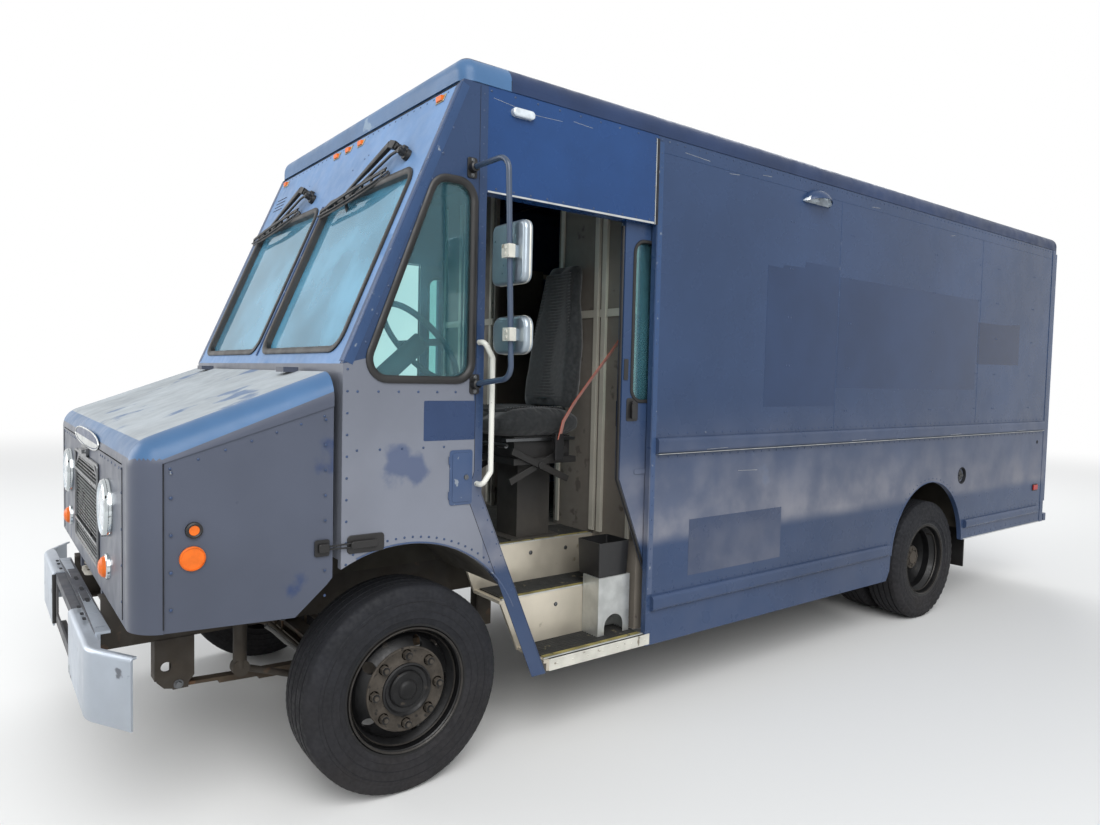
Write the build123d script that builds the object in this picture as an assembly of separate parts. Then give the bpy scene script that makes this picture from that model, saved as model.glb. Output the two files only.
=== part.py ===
"""Walk-in step van, built as separate solids.

Millimetres. +X is the driver's (left) side, the van faces -Y, +Z is up and the ground is Z = 0.
Inside this file Y is measured from the front axle; export moves the van so that Y = 0 is its middle.
"""

import math
import os

from build123d import *

# Overall sizes
HALF_WIDTH = 1070
WHEELBASE = 4070
FRONT_END = -1080
REAR_END = 6050
SIDE_TOP = 2818
ROOF_RISE = 107
ROOF_TOP = SIDE_TOP + ROOF_RISE
SKIN = 30
SEAT = 0.3
INNER = HALF_WIDTH - SKIN
TO_MIDDLE = -(FRONT_END + REAR_END) / 2

# Wheels
TYRE_RADIUS = 419
TYRE_WIDTH = 245
RIM_SEAT = 248
FRONT_TRACK_X = 900
REAR_OUTER_X = 905
DUAL_SPACING = 279
KINGPIN_X = 800
PIN_RADIUS = 20
SPINDLE_RADIUS = 30
REAR_SPINDLE_RADIUS = 45
RUNNING = 0.05
STUDS = 8
STUD_CIRCLE = 275

# Chassis
RAIL_X0 = 362
RAIL_X1 = 432
RAIL_Z0 = 600
RAIL_WALL = 8
ENGINE_FOOT = 650
FRONT_SPRING = 720
FRONT_EYE_Z = 420
REAR_EYE_Z = 557
EYE_RADIUS = 24
LEAF = 12
BEAM_LOW = 269
BEAM_TOP = 339
REAR_SPRING = 660
FLOOR_TOP = 850
FLOOR_BOTTOM = 800
RAIL_Z1 = FLOOR_BOTTOM - SEAT
RAIL_REAR = 5880
CARGO_MEMBERS = (1150, 2450, 3150)
SPRING_X = 397
SPRING_HALF = 22.7

# Cab
COWL_Y = -306
SCREEN_FOOT_Z = 1700
SCREEN_LEAN = 0.4284
SCREEN_COS = 0.9192
SCREEN_WALL = 50
A_POST_TOP_Z = SIDE_TOP - 14
DOOR_FRONT = 286
DOOR_REAR = 1240
HEADER_DEPTH = 418
DOOR_TOP = SIDE_TOP - HEADER_DEPTH
DOOR_BEND_Z = 1190
EDGE_LEAN = 0.427
SKIRT_Z = 366
ARCH_Y = -50
ARCH_Z = 470
ARCH_RADIUS = 548
LINER = 20
WELL_INNER = 520
WELL_REAR = 400

# Cargo body
REAR_ARCH_Y = 3995
REAR_ARCH_Z = 495
REAR_ARCH_RADIUS = 492
REAR_SKIRT_Z = 525
CORNER_Y = 5888
BODY_REAR = 5980
REAR_OPENING_X = 940
REAR_HEADER = 218
REAR_OPENING_TOP = SIDE_TOP - REAR_HEADER
REAR_WALL = 30
BOX_FRONT = 3480
BOX_REAR = 4580
BOX_INNER = 465
BOX_TOP = 1020
POST_DEPTH = 25
POST_HALF = 20
POSTS = (2300, 2900, 5000, 5550)

# Sliding doors
DOOR_X0 = 998
DOOR_X1 = 1032
POCKET_X0 = 965
POCKET_X1 = 990
POCKET_REAR = 2085
DOOR_TRAVEL = 790
DOOR_BOTTOM = 434
TRACK_Z = DOOR_TOP + 2
TRACK_TOP = TRACK_Z + 48
SILL_Z = 375
TREAD_ONE = 425
TREAD_TWO = 655
NOSE_ONE = 870
NOSE_TWO = 660
SHEET = 15

# Hood
PIVOT_X0 = 310
PIVOT_Y = -950
PIVOT_Z = 780
PIVOT_RADIUS = 10
HOOD_FRONT = -980
HOOD_REAR = -336
HOOD_WALL = 25
HOOD_LOW = 830
HOOD_NOSE_Z = 1425
HOOD_TAIL_Z = 1670
NOSE_RADIUS = 96
CREASE_FRONT = (-890, 1370)
CREASE_REAR_Z = 1548
REBATE = 5
HINGE_X = 330
HINGE_HALF = 20
HINGE_BLOCK_X = 650
RAIL_FRONT = PIVOT_Y - 36
TANK_FRONT = 4860

parts = {}


def block(x0, x1, y0, y1, z0, z1):
    """A box between two corners."""
    centre = Pos((x0 + x1) / 2, (y0 + y1) / 2, (z0 + z1) / 2)
    return centre * Box(x1 - x0, y1 - y0, z1 - z0)


def side_plate(points, x0, x1):
    """A polygon of (y, z) points, extruded from x0 to x1."""
    face = make_face(Polyline([(y, z) for y, z in points], close=True))
    return extrude(Plane.YZ.offset(x0) * face, x1 - x0)


def side_shape(face, x0, x1):
    """A face drawn in (y, z), extruded from x0 to x1."""
    return extrude(Plane.YZ.offset(x0) * face, x1 - x0)


def cross_plate(points, y0, y1):
    """A polygon of (x, z) points, extruded from y0 to y1."""
    face = make_face(Polyline([(x, z) for x, z in points], close=True))
    return extrude(Plane(origin=(0, y1, 0), x_dir=(1, 0, 0), z_dir=(0, -1, 0)) * face, y1 - y0)


def rod(start, end, radius):
    """A round bar between two points."""
    a = Vector(*start)
    b = Vector(*end)
    along = b - a
    return extrude(Plane(origin=start, z_dir=along) * Circle(radius), along.length)


def tube_run(points, radius, bend):
    """A round bar bent along a line of points."""
    path = FilletPolyline(*points, radius=bend)
    start = Plane(origin=points[0], z_dir=Vector(*points[1]) - Vector(*points[0]))
    return sweep(start * Circle(radius), path=path)


def flip(shape):
    """The same shape on the van's other side."""
    return mirror(shape, about=Plane.YZ)


def pair(shape):
    """A left piece and its mirror image."""
    return [shape, flip(shape)]


def cylinder_up(x, y, z0, z1, radius):
    """An upright round bar."""
    return rod((x, y, z0), (x, y, z1), radius)


def turned(profile, x, y, z):
    """A closed (x, radius) profile turned round an axle along X."""
    face = make_face(Polyline([(px, pr) for px, pr in profile], close=True))
    solid = revolve(Plane.XY * face, Axis.X)
    return Pos(x, y, z) * solid


def ring_holes(x0, x1, y, z, circle, count, radius, start=0):
    """Round holes on a circle round an axle."""
    holes = []
    for i in range(count):
        angle = math.radians(start + 360 * i / count)
        cy = y + circle / 2 * math.cos(angle)
        cz = z + circle / 2 * math.sin(angle)
        holes.append(rod((x0, cy, cz), (x1, cy, cz), radius))
    return holes


def screen_y(z, inset=0):
    """Y of the leaning windscreen plane at height z."""
    return COWL_Y + (z - SCREEN_FOOT_Z) * SCREEN_LEAN + inset / SCREEN_COS


def door_edge(z, inset=0):
    """Y of the doorway's front edge at height z, which leans back below the bend."""
    return DOOR_FRONT + inset + max(0, DOOR_BEND_Z - z) * EDGE_LEAN


def arch_face(grow=0):
    """The front wheel arch as a face: a round top and a leaning rear edge."""
    radius = ARCH_RADIUS + grow
    lean = math.hypot(1, EDGE_LEAN)
    tangent = (ARCH_Y + radius / lean, ARCH_Z + radius * EDGE_LEAN / lean)
    foot = (tangent[0] + (tangent[1] - 300) * EDGE_LEAN, 300)
    left = (ARCH_Y - radius, ARCH_Z)
    top = (ARCH_Y, ARCH_Z + radius)
    lines = ThreePointArc(left, top, tangent)
    lines += Polyline([tangent, foot, (left[0], 300), left])
    return make_face(lines)


def rounded(y0, y1, z0, z1, radius):
    """A rounded rectangle in (y, z)."""
    return Pos((y0 + y1) / 2, (z0 + z1) / 2) * RectangleRounded(y1 - y0, z1 - z0, radius)


# Chassis
TAB = 12
TAB_HALF = 40
TAB_SPARE = 4
HORN_FRONT = -796
HORN_REAR = -659
HORN_HOLE = (-762, 490)
HORN_HOLE_RADIUS = 20
TOW_X0 = -300
TOW_X1 = -160
TOW_Z = 752


def horn_plate(web):
    """Plate under a rail's front end, beside the spring's front eye."""
    outline = [(HORN_FRONT, RAIL_Z0 + 1), (HORN_REAR, RAIL_Z0 + 1), (HORN_REAR, 440), (-690, 402), (-730, 396),
               (-770, 405), (HORN_FRONT, 433)]
    plate = side_plate(outline, web, RAIL_X1 + 4)
    return plate + block(RAIL_X0, RAIL_X1 + 4, HORN_FRONT - 8, HORN_FRONT, 440, RAIL_Z0 + 1)


def tow_eye():
    """Flat eye in front of the first member."""
    rear = PIVOT_Y + 30 - SEAT
    eye = block(TOW_X0, TOW_X1, rear - 52, rear, TOW_Z, TOW_Z + 16)
    eye = fillet(eye.edges().filter_by(Axis.Z).filter_by(lambda e: e.center().Y < rear - 20), 24)
    return eye - extrude(Plane.XY.offset(TOW_Z - 1) * Pos((TOW_X0 + TOW_X1) / 2, rear - 28) * SlotOverall(96, 24), 18)


def chassis_frame():
    """Two channel rails with their spring hangers, the members across them and a tow eye."""
    rail = block(RAIL_X0, RAIL_X1, RAIL_FRONT, RAIL_REAR, RAIL_Z0, RAIL_Z1)
    web = RAIL_X1 - RAIL_WALL
    rail -= block(RAIL_X0 - 1, web, RAIL_FRONT - 1, RAIL_REAR + 1, RAIL_Z0 + RAIL_WALL, RAIL_Z1 - RAIL_WALL)
    rail += horn_plate(web)
    hole_y, hole_z = HORN_HOLE
    behind_hole = hole_y + HORN_HOLE_RADIUS + TAB_SPARE
    for y, half, eye in ((0, FRONT_SPRING, FRONT_EYE_Z), (WHEELBASE, REAR_SPRING, REAR_EYE_Z)):
        for end in (y - half, y + half):
            front = max(end - TAB_HALF, behind_hole)
            for x in (RAIL_X0, RAIL_X1 - TAB):
                rail += block(x, x + TAB, front, end + TAB_HALF, eye - EYE_RADIUS - 4, RAIL_Z0 + 4)
    rail -= rod((RAIL_X1 - 20, hole_y, hole_z), (RAIL_X1 + 20, hole_y, hole_z), HORN_HOLE_RADIUS)
    half = web - SEAT
    members = [block(-half, half, -540, -440, RAIL_Z0 + RAIL_WALL + SEAT, ENGINE_FOOT)]
    for y in (PIVOT_Y + 60, *CARGO_MEMBERS, TANK_FRONT - 220, RAIL_REAR - 60):
        members.append(block(-half, half, y - 30, y + 30, RAIL_Z0 + 100, RAIL_Z1 - RAIL_WALL - SEAT))
    rail += rod((PIVOT_X0 - 5, PIVOT_Y, PIVOT_Z), (web + 4, PIVOT_Y, PIVOT_Z), PIVOT_RADIUS)
    return pair(rail) + members + [tow_eye()]


def engine_block():
    """The engine and gearbox as plain blocks."""
    engine = block(-300, 300, -850, -320, ENGINE_FOOT + SEAT, 1250)
    return engine + block(-180, 180, -330, 900, 520, 785)


BEAM_HALF = 40
FLANGE = 14
LUG_HALF = 27


def front_axle():
    """A dropped I-beam with a kingpin at each end."""
    beam = block(-560, 560, -9, 9, BEAM_LOW, BEAM_TOP)
    for z in (BEAM_LOW, BEAM_TOP - FLANGE):
        beam += block(-560, 560, -BEAM_HALF, BEAM_HALF, z, z + FLANGE)
    for side in (-1, 1):
        beam += side_lug(side, TYRE_RADIUS)
    return beam


def side_lug(side, z):
    """One rising end of the front axle with its boss and kingpin."""
    profile = [(540, BEAM_LOW), (540, BEAM_TOP), (630, z - 10), (710, z + 40), (KINGPIN_X, z + 40),
               (KINGPIN_X, z - 40), (740, z - 42), (650, z - 50), (585, BEAM_LOW)]
    end = cross_plate([(side * x, up) for x, up in profile], -LUG_HALF, LUG_HALF)
    end += Pos(side * KINGPIN_X, 0, z) * Cylinder(38, 96)
    end += Pos(side * KINGPIN_X, 0, z) * Cylinder(PIN_RADIUS, 190)
    return end


SWAY_X = 480
SWAY_Y = -495
SWAY_Z = 450
SWAY_BAR = (-85, 300)
SWAY_RADIUS = 14


def sway_bar():
    """Anti-roll bar under the front springs, its arms ending in round bushes below upright links."""
    y, z = SWAY_BAR
    bar = tube_run([(-SWAY_X, SWAY_Y, SWAY_Z), (-SWAY_X, y, z), (SWAY_X, y, z), (SWAY_X, SWAY_Y, SWAY_Z)],
                   SWAY_RADIUS, 60)
    link = rod((SWAY_X - 25, SWAY_Y, SWAY_Z), (SWAY_X + 25, SWAY_Y, SWAY_Z), 34)
    link += cylinder_up(SWAY_X, SWAY_Y, SWAY_Z, 700, 27)
    link += block(RAIL_X1 + SEAT, SWAY_X + 27, SWAY_Y - 27, SWAY_Y + 27, 640, 705)
    return bar + link + flip(link)


def leaf_spring(y, half, seat_z, eye_z, leaves):
    """A stack of leaves over an axle at y: each leaf below the main one is shorter."""
    x0 = SPRING_X - SPRING_HALF
    x1 = SPRING_X + SPRING_HALF
    camber = eye_z - EYE_RADIUS - seat_z - LEAF * (leaves - 1)
    stack = rod((x0, y - half, eye_z), (x1, y - half, eye_z), EYE_RADIUS)
    stack += rod((x0, y + half, eye_z), (x1, y + half, eye_z), EYE_RADIUS)
    for i in range(leaves):
        share = 1 - i / (leaves + 0.5)
        reach = half * share
        low = seat_z + SEAT + LEAF * (leaves - 1 - i)
        rise = camber * share ** 2
        thick = LEAF + 1
        outer = ThreePointArc((y - reach, low + rise), (y, low), (y + reach, low + rise))
        inner = ThreePointArc((y + reach, low + rise + thick), (y, low + thick), (y - reach, low + rise + thick))
        ends = Polyline([(y + reach, low + rise), (y + reach, low + rise + thick)])
        ends += Polyline([(y - reach, low + rise + thick), (y - reach, low + rise)])
        stack += side_shape(make_face(outer + inner + ends), x0, x1)
    top = seat_z + LEAF * leaves
    stack += block(SPRING_X - 30, SPRING_X + 30, y - 75, y + 75, seat_z + SEAT, top + 16)
    return stack


def leaf_springs():
    """Front and rear leaf springs."""
    front = leaf_spring(0, FRONT_SPRING, BEAM_TOP, FRONT_EYE_Z, 4)
    rear = leaf_spring(WHEELBASE, REAR_SPRING, TYRE_RADIUS + 60, REAR_EYE_Z, 5)
    return pair(front) + pair(rear)


def rear_axle():
    """Axle tube, differential and drive shaft."""
    z = TYRE_RADIUS
    y = WHEELBASE
    axle = rod((-480, y, z), (480, y, z), 60)
    axle += Pos(0, y, z) * Sphere(165)
    axle += rod((0, y - 260, z + 30), (0, y - 100, z + 20), 60)
    for side in (-1, 1):
        axle += rod((side * 470, y, z), (side * 930, y, z), REAR_SPINDLE_RADIUS)
        axle += rod((side * 470, y, z), (side * 520, y, z), 150)
    axle += rod((0, 905, 620), (0, y - 240, z + 29), 42)
    axle += rod((0, 900 + SEAT, 620), (0, 960, 620), 70)
    return axle


def fuel_tank():
    """Tank between the rails behind the rear axle."""
    half = RAIL_X0 - SEAT
    tank = block(-half, half, TANK_FRONT, TANK_FRONT + 780, 470, 770)
    return fillet(tank.edges().filter_by(Axis.Y), 60)


SILENCER_X = -560
SILENCER_Z = 610
SILENCER_RADIUS = 110
SILENCER_FRONT = 1600
SILENCER_REAR = 2550
PIPE_RADIUS = 38
PIPE_BEND = 60


def exhaust():
    """Silencer with its pipes and hangers on the right."""
    x = SILENCER_X
    z = SILENCER_Z
    run = rod((x, SILENCER_FRONT, z), (x, SILENCER_REAR, z), SILENCER_RADIUS)
    inlet = [(x, SILENCER_FRONT + 50, z), (x, 1250, z - 20), (x, 1050, 540), (-300, 900, 540), (-300, 720, 540)]
    outlet = [(x, SILENCER_REAR - 50, z), (x, 3150, z), (x, 3230, 480), (-1010, 3230, 450)]
    for points in (inlet, outlet):
        run += tube_run(points, PIPE_RADIUS, PIPE_BEND)
    for y in (SILENCER_FRONT + 150, SILENCER_REAR - 150):
        run += block(x - 20, x + 20, y - 20, y + 20, z + 90, FLOOR_BOTTOM - SEAT)
    return run


# Front bumper
BUMPER_LOW = 505
BUMPER_TOP = 745
BUMPER_WALL = 8
BUMPER_FLANGE = 50
BUMPER_CENTRE = 320
BUMPER_TIP = (1003, -972)
BUMPER_BEND = 150
TREAD_X0 = -558
TREAD_X1 = 700


def front_bumper():
    """Recessed centre channel, two wrap-round ends with a top flange, the step plate and the arms to the rails."""
    return [bumper_centre(), bumper_tread()] + pair(bumper_end()) + pair(bumper_arm())


def bumper_centre():
    """Channel between the ends, open in front."""
    face = FRONT_END + 12
    back = FRONT_END + BUMPER_FLANGE
    half = BUMPER_CENTRE
    centre = block(-half, half, face, face + BUMPER_WALL, 515, BUMPER_TOP - 4)
    centre += block(-half, half, face, back, BUMPER_TOP - 4 - BUMPER_WALL, BUMPER_TOP - 4)
    centre += block(-half, half, face, back, 515, 515 + BUMPER_WALL)
    return centre - block(30 - half, half - 30, face - 1, face + BUMPER_WALL + 1, 562, 706)


def bumper_end():
    """Left end: a straight face, a bend and a swept leg, with a flange along its top."""
    start = BUMPER_CENTRE + SEAT
    corner = (822, FRONT_END)
    outer = FilletPolyline([(start, FRONT_END), corner, BUMPER_TIP], radius=BUMPER_BEND)
    inner = Polyline([BUMPER_TIP, (991.4, -953.3), (848, -1036), (790, FRONT_END + BUMPER_FLANGE),
                      (start, FRONT_END + BUMPER_FLANGE), (start, FRONT_END)])
    end = extrude(Plane.XY.offset(BUMPER_LOW) * make_face(outer + inner), BUMPER_TOP - BUMPER_LOW)
    top = end.edges().filter_by(lambda e: abs(e.center().Z - BUMPER_TOP) < 0.1)
    end = fillet(top.filter_by(lambda e: on_bumper_face(e.center())), 15)
    hollow = FilletPolyline([(start - 1, FRONT_END + BUMPER_WALL), (820, FRONT_END + BUMPER_WALL), (1006, -961)],
                            radius=BUMPER_BEND - BUMPER_WALL)
    hollow += Polyline([(1006, -961), (1006, -940), (start - 1, -940), (start - 1, FRONT_END + BUMPER_WALL)])
    depth = BUMPER_TOP - BUMPER_WALL - BUMPER_LOW + 1
    return end - extrude(Plane.XY.offset(BUMPER_LOW - 1) * make_face(hollow), depth)


def on_bumper_face(point):
    """Whether a point lies near the bumper's outer face, not on the flange's inner edge."""
    if point.X < 800:
        return point.Y < FRONT_END + 5
    return point.Y < -1080 + (point.X - 822) * 0.5967 + 9


def bumper_tread():
    """Step plate on the bumper's flange, with short slots."""
    front = FRONT_END + 45
    tread = block(TREAD_X0, TREAD_X1, front, front + 47, BUMPER_TOP + SEAT, BUMPER_TOP + 10)
    for i in range(7):
        x = TREAD_X0 + 60 + 190 * i
        tread -= block(x - 3, x + 3, front + 10, front + 38, BUMPER_TOP, BUMPER_TOP + 11)
    return tread


def bumper_arm():
    """Left arm from the rail's end to the bumper's face."""
    return block(RAIL_X0, RAIL_X1, FRONT_END + BUMPER_WALL + SEAT, RAIL_FRONT - SEAT, 620, 720)


# Hood
def hood_form(inset):
    """The hood as a closed form, or its inside when inset is the wall."""
    front = HOOD_FRONT + inset
    drop = inset / math.cos(math.atan2(HOOD_TAIL_Z - HOOD_NOSE_Z, HOOD_REAR - HOOD_FRONT))
    slope = (HOOD_TAIL_Z - HOOD_NOSE_Z) / (HOOD_REAR - HOOD_FRONT)
    nose = HOOD_NOSE_Z + inset * slope - drop
    rear = HOOD_REAR + (10 if inset else 0)
    tail = nose + (rear - front) * slope
    outline = [(front, HOOD_LOW), (front, nose), (rear, tail), (rear, HOOD_LOW + 100), (HOOD_REAR - 22, HOOD_LOW + 75),
               (HOOD_REAR - 134, HOOD_LOW - 24)]
    if inset:
        outline = [(front, HOOD_LOW - 200), (front, nose), (rear, tail), (rear, HOOD_LOW - 200)]
    half = HALF_WIDTH - inset
    form = side_plate(outline, -half, half)
    top_sides = form.edges().filter_by(lambda e: abs(abs(e.center().X) - half) < 1
                                       and abs(e.center().Z - (nose + tail) / 2) < 2)
    uprights = form.edges().filter_by(Axis.Z).filter_by(lambda e: abs(e.center().Y - front) < 1)
    top_front = form.edges().filter_by(Axis.X).filter_by(lambda e: abs(e.center().Z - nose) < 1)
    return fillet(top_sides + uprights + top_front, NOSE_RADIUS - inset)


GRILLE_HALF = 360
GRILLE_LOW = 905
GRILLE_HIGH = 1290
GRILLE_CUT_X = 110
GRILLE_CUT_Z = 60
LAMP_X = 600
LAMP_Z = 1170
LAMP_RADIUS = 89
SIGNAL_X = 590
SIGNAL_Z = 955
SIGNAL_RADIUS = 32
BEZEL_RADIUS = 103
BARS = 24


def grille_outline(inset):
    """The grille opening, with cut top corners."""
    half = GRILLE_HALF - inset
    side = GRILLE_HIGH - GRILLE_CUT_Z
    top = half - GRILLE_CUT_X
    return [(-half, GRILLE_LOW + inset), (-half, side), (-top, GRILLE_HIGH - inset), (top, GRILLE_HIGH - inset),
            (half, side), (half, GRILLE_LOW + inset)]


def hood():
    """The tilting hood: one shell with grille and lamp openings."""
    shell = hood_form(0) - hood_form(HOOD_WALL)
    shell -= cross_plate(grille_outline(0), HOOD_FRONT - 5, HOOD_FRONT + HOOD_WALL + 5)
    for side in (-1, 1):
        for x, z, radius in ((LAMP_X, LAMP_Z, LAMP_RADIUS + 1), (SIGNAL_X, SIGNAL_Z, SIGNAL_RADIUS + 1)):
            shell -= rod_y(side * x, z, HOOD_FRONT - 5, HOOD_FRONT + HOOD_WALL + 5, radius)
    for side in (-1, 1):
        x = side * HINGE_X
        lug = block(x - HINGE_HALF, x + HINGE_HALF, HOOD_FRONT + 10, PIVOT_Y + 20, PIVOT_Z - 20, 900)
        bore = rod((x - 30, PIVOT_Y, PIVOT_Z), (x + 30, PIVOT_Y, PIVOT_Z), PIVOT_RADIUS + RUNNING)
        shell += lug - bore
        x = side * HINGE_BLOCK_X
        shell += block(x - 45, x + 45, HOOD_REAR - 59, HOOD_REAR, HOOD_TAIL_Z - 6, HOOD_TAIL_Z + 14)
    face = HALF_WIDTH - REBATE
    panel = side_plate([(CREASE_FRONT[0], HOOD_LOW - 30), CREASE_FRONT, (HOOD_REAR + 1, CREASE_REAR_Z),
                        (HOOD_REAR + 1, HOOD_LOW - 30)], face, HALF_WIDTH + 1)
    return shell - panel - flip(panel)


def turned_forward(profile, x, z):
    """A closed (radius, distance ahead of the hood's face) profile turned round an axis along Y."""
    face = make_face(Polyline([(r, HOOD_FRONT - ahead) for r, ahead in profile], close=True))
    return Pos(x, 0, z) * revolve(Plane.XY * face, Axis.Y)


def rod_y(x, z, y0, y1, radius):
    """A round bar along Y."""
    return rod((x, y0, z), (x, y1, z), radius)


def grille():
    """Frame and horizontal bars, with a dark screen behind them."""
    y0 = HOOD_FRONT - 4
    frame = cross_plate(grille_outline(SEAT), y0, y0 + 30) - cross_plate(grille_outline(18), y0 - 1, y0 + 40)
    pitch = (GRILLE_HIGH - GRILLE_LOW - 36) / BARS
    for i in range(BARS):
        z = GRILLE_LOW + 18 + pitch * (i + 0.5)
        frame += block(-GRILLE_HALF + 10, GRILLE_HALF - 10, y0 + 2, y0 + 22, z - 2.5, z + 2.5)
    clip = cross_plate(grille_outline(SEAT), y0 - 1, y0 + 40)
    screen = cross_plate(grille_outline(SEAT), y0 + 24, y0 + 30)
    return (frame & clip) + screen


def headlamps():
    """Round sealed beams in round bezels, one turned solid each: (radius, distance ahead of the hood)."""
    profile = [(0, -20), (LAMP_RADIUS, -20), (LAMP_RADIUS, SEAT), (BEZEL_RADIUS, SEAT), (BEZEL_RADIUS, 14),
               (BEZEL_RADIUS - 5, 23), (BEZEL_RADIUS - 13, 26), (LAMP_RADIUS - 4, 17), (60, 24), (30, 28), (0, 29)]
    return pair(turned_forward(profile, LAMP_X, LAMP_Z))


def turn_signals():
    """Domed amber signals below the headlamps, and the round reflectors and markers on the hood's sides."""
    base = SIGNAL_RADIUS + 8
    profile = [(0, -15), (SIGNAL_RADIUS, -15), (SIGNAL_RADIUS, SEAT), (base, SEAT), (base, 10), (base - 6, 22),
               (base - 20, 31), (0, 34)]
    signal = turned_forward(profile, SIGNAL_X, SIGNAL_Z)
    face = HALF_WIDTH - REBATE + SEAT
    reflector = rod((face, -804, 1058), (face + 7, -804, 1058), 36)
    marker = rod((face, -800, 1150), (face + 10, -800, 1150), 16)
    return pair(signal) + pair(reflector) + pair(marker)


# Cab
WINDOW_LOW = 1755
WINDOW_HIGH = 2470


def pane_face(grow=0):
    """One windscreen pane in the plane of the screen: x across, then distance up the slope."""
    low = (WINDOW_LOW - SCREEN_FOOT_Z) / SCREEN_COS
    high = (WINDOW_HIGH - SCREEN_FOOT_Z) / SCREEN_COS
    return Pos(505, (low + high) / 2) * RectangleRounded(910 + 2 * grow, high - low + 2 * grow, 70 + grow)


def screen_plane(depth):
    """Plane of the windscreen, sunk by depth below the outer face."""
    up = Vector(0, SCREEN_LEAN, 1).normalized()
    out = Vector(0, -up.Z, up.Y)
    origin = Vector(0, COWL_Y, SCREEN_FOOT_Z) - out * depth
    return Plane(origin=origin, x_dir=(1, 0, 0), z_dir=out)


def screen_solid(face, depth, thick):
    """A face on the windscreen plane, thickened outwards from depth."""
    return extrude(screen_plane(depth) * face, thick)


def cab_front():
    """Firewall, cowl and the leaning windscreen frame."""
    half = INNER - SEAT
    outline = [(COWL_Y, 985), (COWL_Y, SCREEN_FOOT_Z), (screen_y(A_POST_TOP_Z), A_POST_TOP_Z),
               (screen_y(A_POST_TOP_Z, SCREEN_WALL), A_POST_TOP_Z),
               (screen_y(SCREEN_FOOT_Z, SCREEN_WALL), SCREEN_FOOT_Z), (screen_y(SCREEN_FOOT_Z, SCREEN_WALL), 985)]
    wall = side_plate(outline, -half, half)
    wall += block(-WELL_INNER + 1, WELL_INNER - 1, COWL_Y, COWL_Y + SCREEN_WALL, FLOOR_TOP + SEAT, 990)
    hole = screen_solid(pane_face(), 80, 120)
    return wall - hole - flip(hole)


def side_window_face(grow=0):
    """The cab's side window: a leaning front edge and round corners."""
    points = [(-263, 1630), (246, 1630), (246, 2442), (48, 2442)]
    face = fillet(make_face(Polyline(points, close=True)).vertices(), 90)
    return offset(face, amount=grow - 18)


def cab_sides():
    """Side panels from the windscreen post back to the doorway, over the wheel arch."""
    outline = [(COWL_Y, 900), (COWL_Y, SCREEN_FOOT_Z), (screen_y(A_POST_TOP_Z), A_POST_TOP_Z),
               (screen_y(SIDE_TOP), SIDE_TOP), (DOOR_FRONT, SIDE_TOP), (DOOR_FRONT, DOOR_BEND_Z),
               (door_edge(SKIRT_Z), SKIRT_Z), (300, SKIRT_Z)]
    side = side_plate(outline, INNER, HALF_WIDTH)
    side -= side_shape(arch_face(), INNER - 1, HALF_WIDTH + 1)
    side -= side_shape(side_window_face(), INNER - 1, HALF_WIDTH + 1)
    return pair(side)


def cab_glass():
    """Windscreen panes and the cab's side windows."""
    pane = screen_solid(pane_face(-12), 27, 6)
    window = side_shape(side_window_face(-12), HALF_WIDTH - 18, HALF_WIDTH - 12)
    return pair(pane) + pair(window)


def window_rubbers():
    """Rubber glazing frames round the cab's glass."""
    ring = screen_solid(pane_face(18), -SEAT, 9) - screen_solid(pane_face(-14), -SEAT - 10, 40)
    ring += screen_solid(pane_face(-SEAT), 45, 50) - screen_solid(pane_face(-11.5), 50, 80)
    window = side_shape(side_window_face(18), HALF_WIDTH + SEAT, HALF_WIDTH + 9)
    window += side_shape(side_window_face(-SEAT), INNER, HALF_WIDTH + 5)
    window -= side_shape(side_window_face(-11.5), INNER - 5, HALF_WIDTH + 20)
    return pair(ring) + pair(window)


def door_headers():
    """Panels over the two doorways."""
    panel = block(INNER, HALF_WIDTH, DOOR_FRONT + SEAT, DOOR_REAR - SEAT, DOOR_TOP, SIDE_TOP)
    return pair(panel + block(DOOR_X0, INNER, DOOR_FRONT + SEAT, DOOR_REAR - SEAT, TRACK_Z, TRACK_TOP))


ROOF_ROUND = 75
ROOF_WALL = 35
ROOF_CAP_REAR = 394
ROOF_BOWS = (750, 1700, 3500, 4250)


def roof_bar(y0, y1, inset=0):
    """A length of roof with round upper corners."""
    half = HALF_WIDTH + 4 - inset
    bar = block(-half, half, y0, y1, SIDE_TOP + SEAT - inset, ROOF_TOP - inset)
    edges = bar.edges().filter_by(Axis.Y).filter_by(lambda e: e.center().Z > SIDE_TOP + 20)
    return fillet(edges, ROOF_ROUND - inset)


def roof():
    """Roof panel with its side rails, open below."""
    shell = roof_bar(ROOF_CAP_REAR + SEAT, BODY_REAR)
    back = shell.edges().filter_by(Axis.X).filter_by(lambda e: e.center().Y > BODY_REAR - 1
                                                     and e.center().Z > ROOF_TOP - 1)
    shell = fillet(back, 40)
    shell -= roof_bar(ROOF_CAP_REAR - 50, CORNER_Y, ROOF_WALL)
    inner = HALF_WIDTH - ROOF_WALL
    for y in (*ROOF_BOWS, *POSTS):
        shell += block(-inner, inner, y - POST_HALF, y + POST_HALF, SIDE_TOP + SEAT, ROOF_TOP - ROOF_WALL + 1)
    return shell


def roof_cap():
    """Rounded front cap over the windscreen."""
    front = screen_y(SIDE_TOP)
    cap = roof_bar(front - 6, ROOF_CAP_REAR)
    nose = cap.edges().filter_by(lambda e: abs(e.center().Y - (front - 6)) < 1 and e.center().Z > SIDE_TOP + 40)
    cap = fillet(nose, 60)
    return cap - roof_bar(front + 60, ROOF_CAP_REAR + 50, ROOF_WALL)


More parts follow.
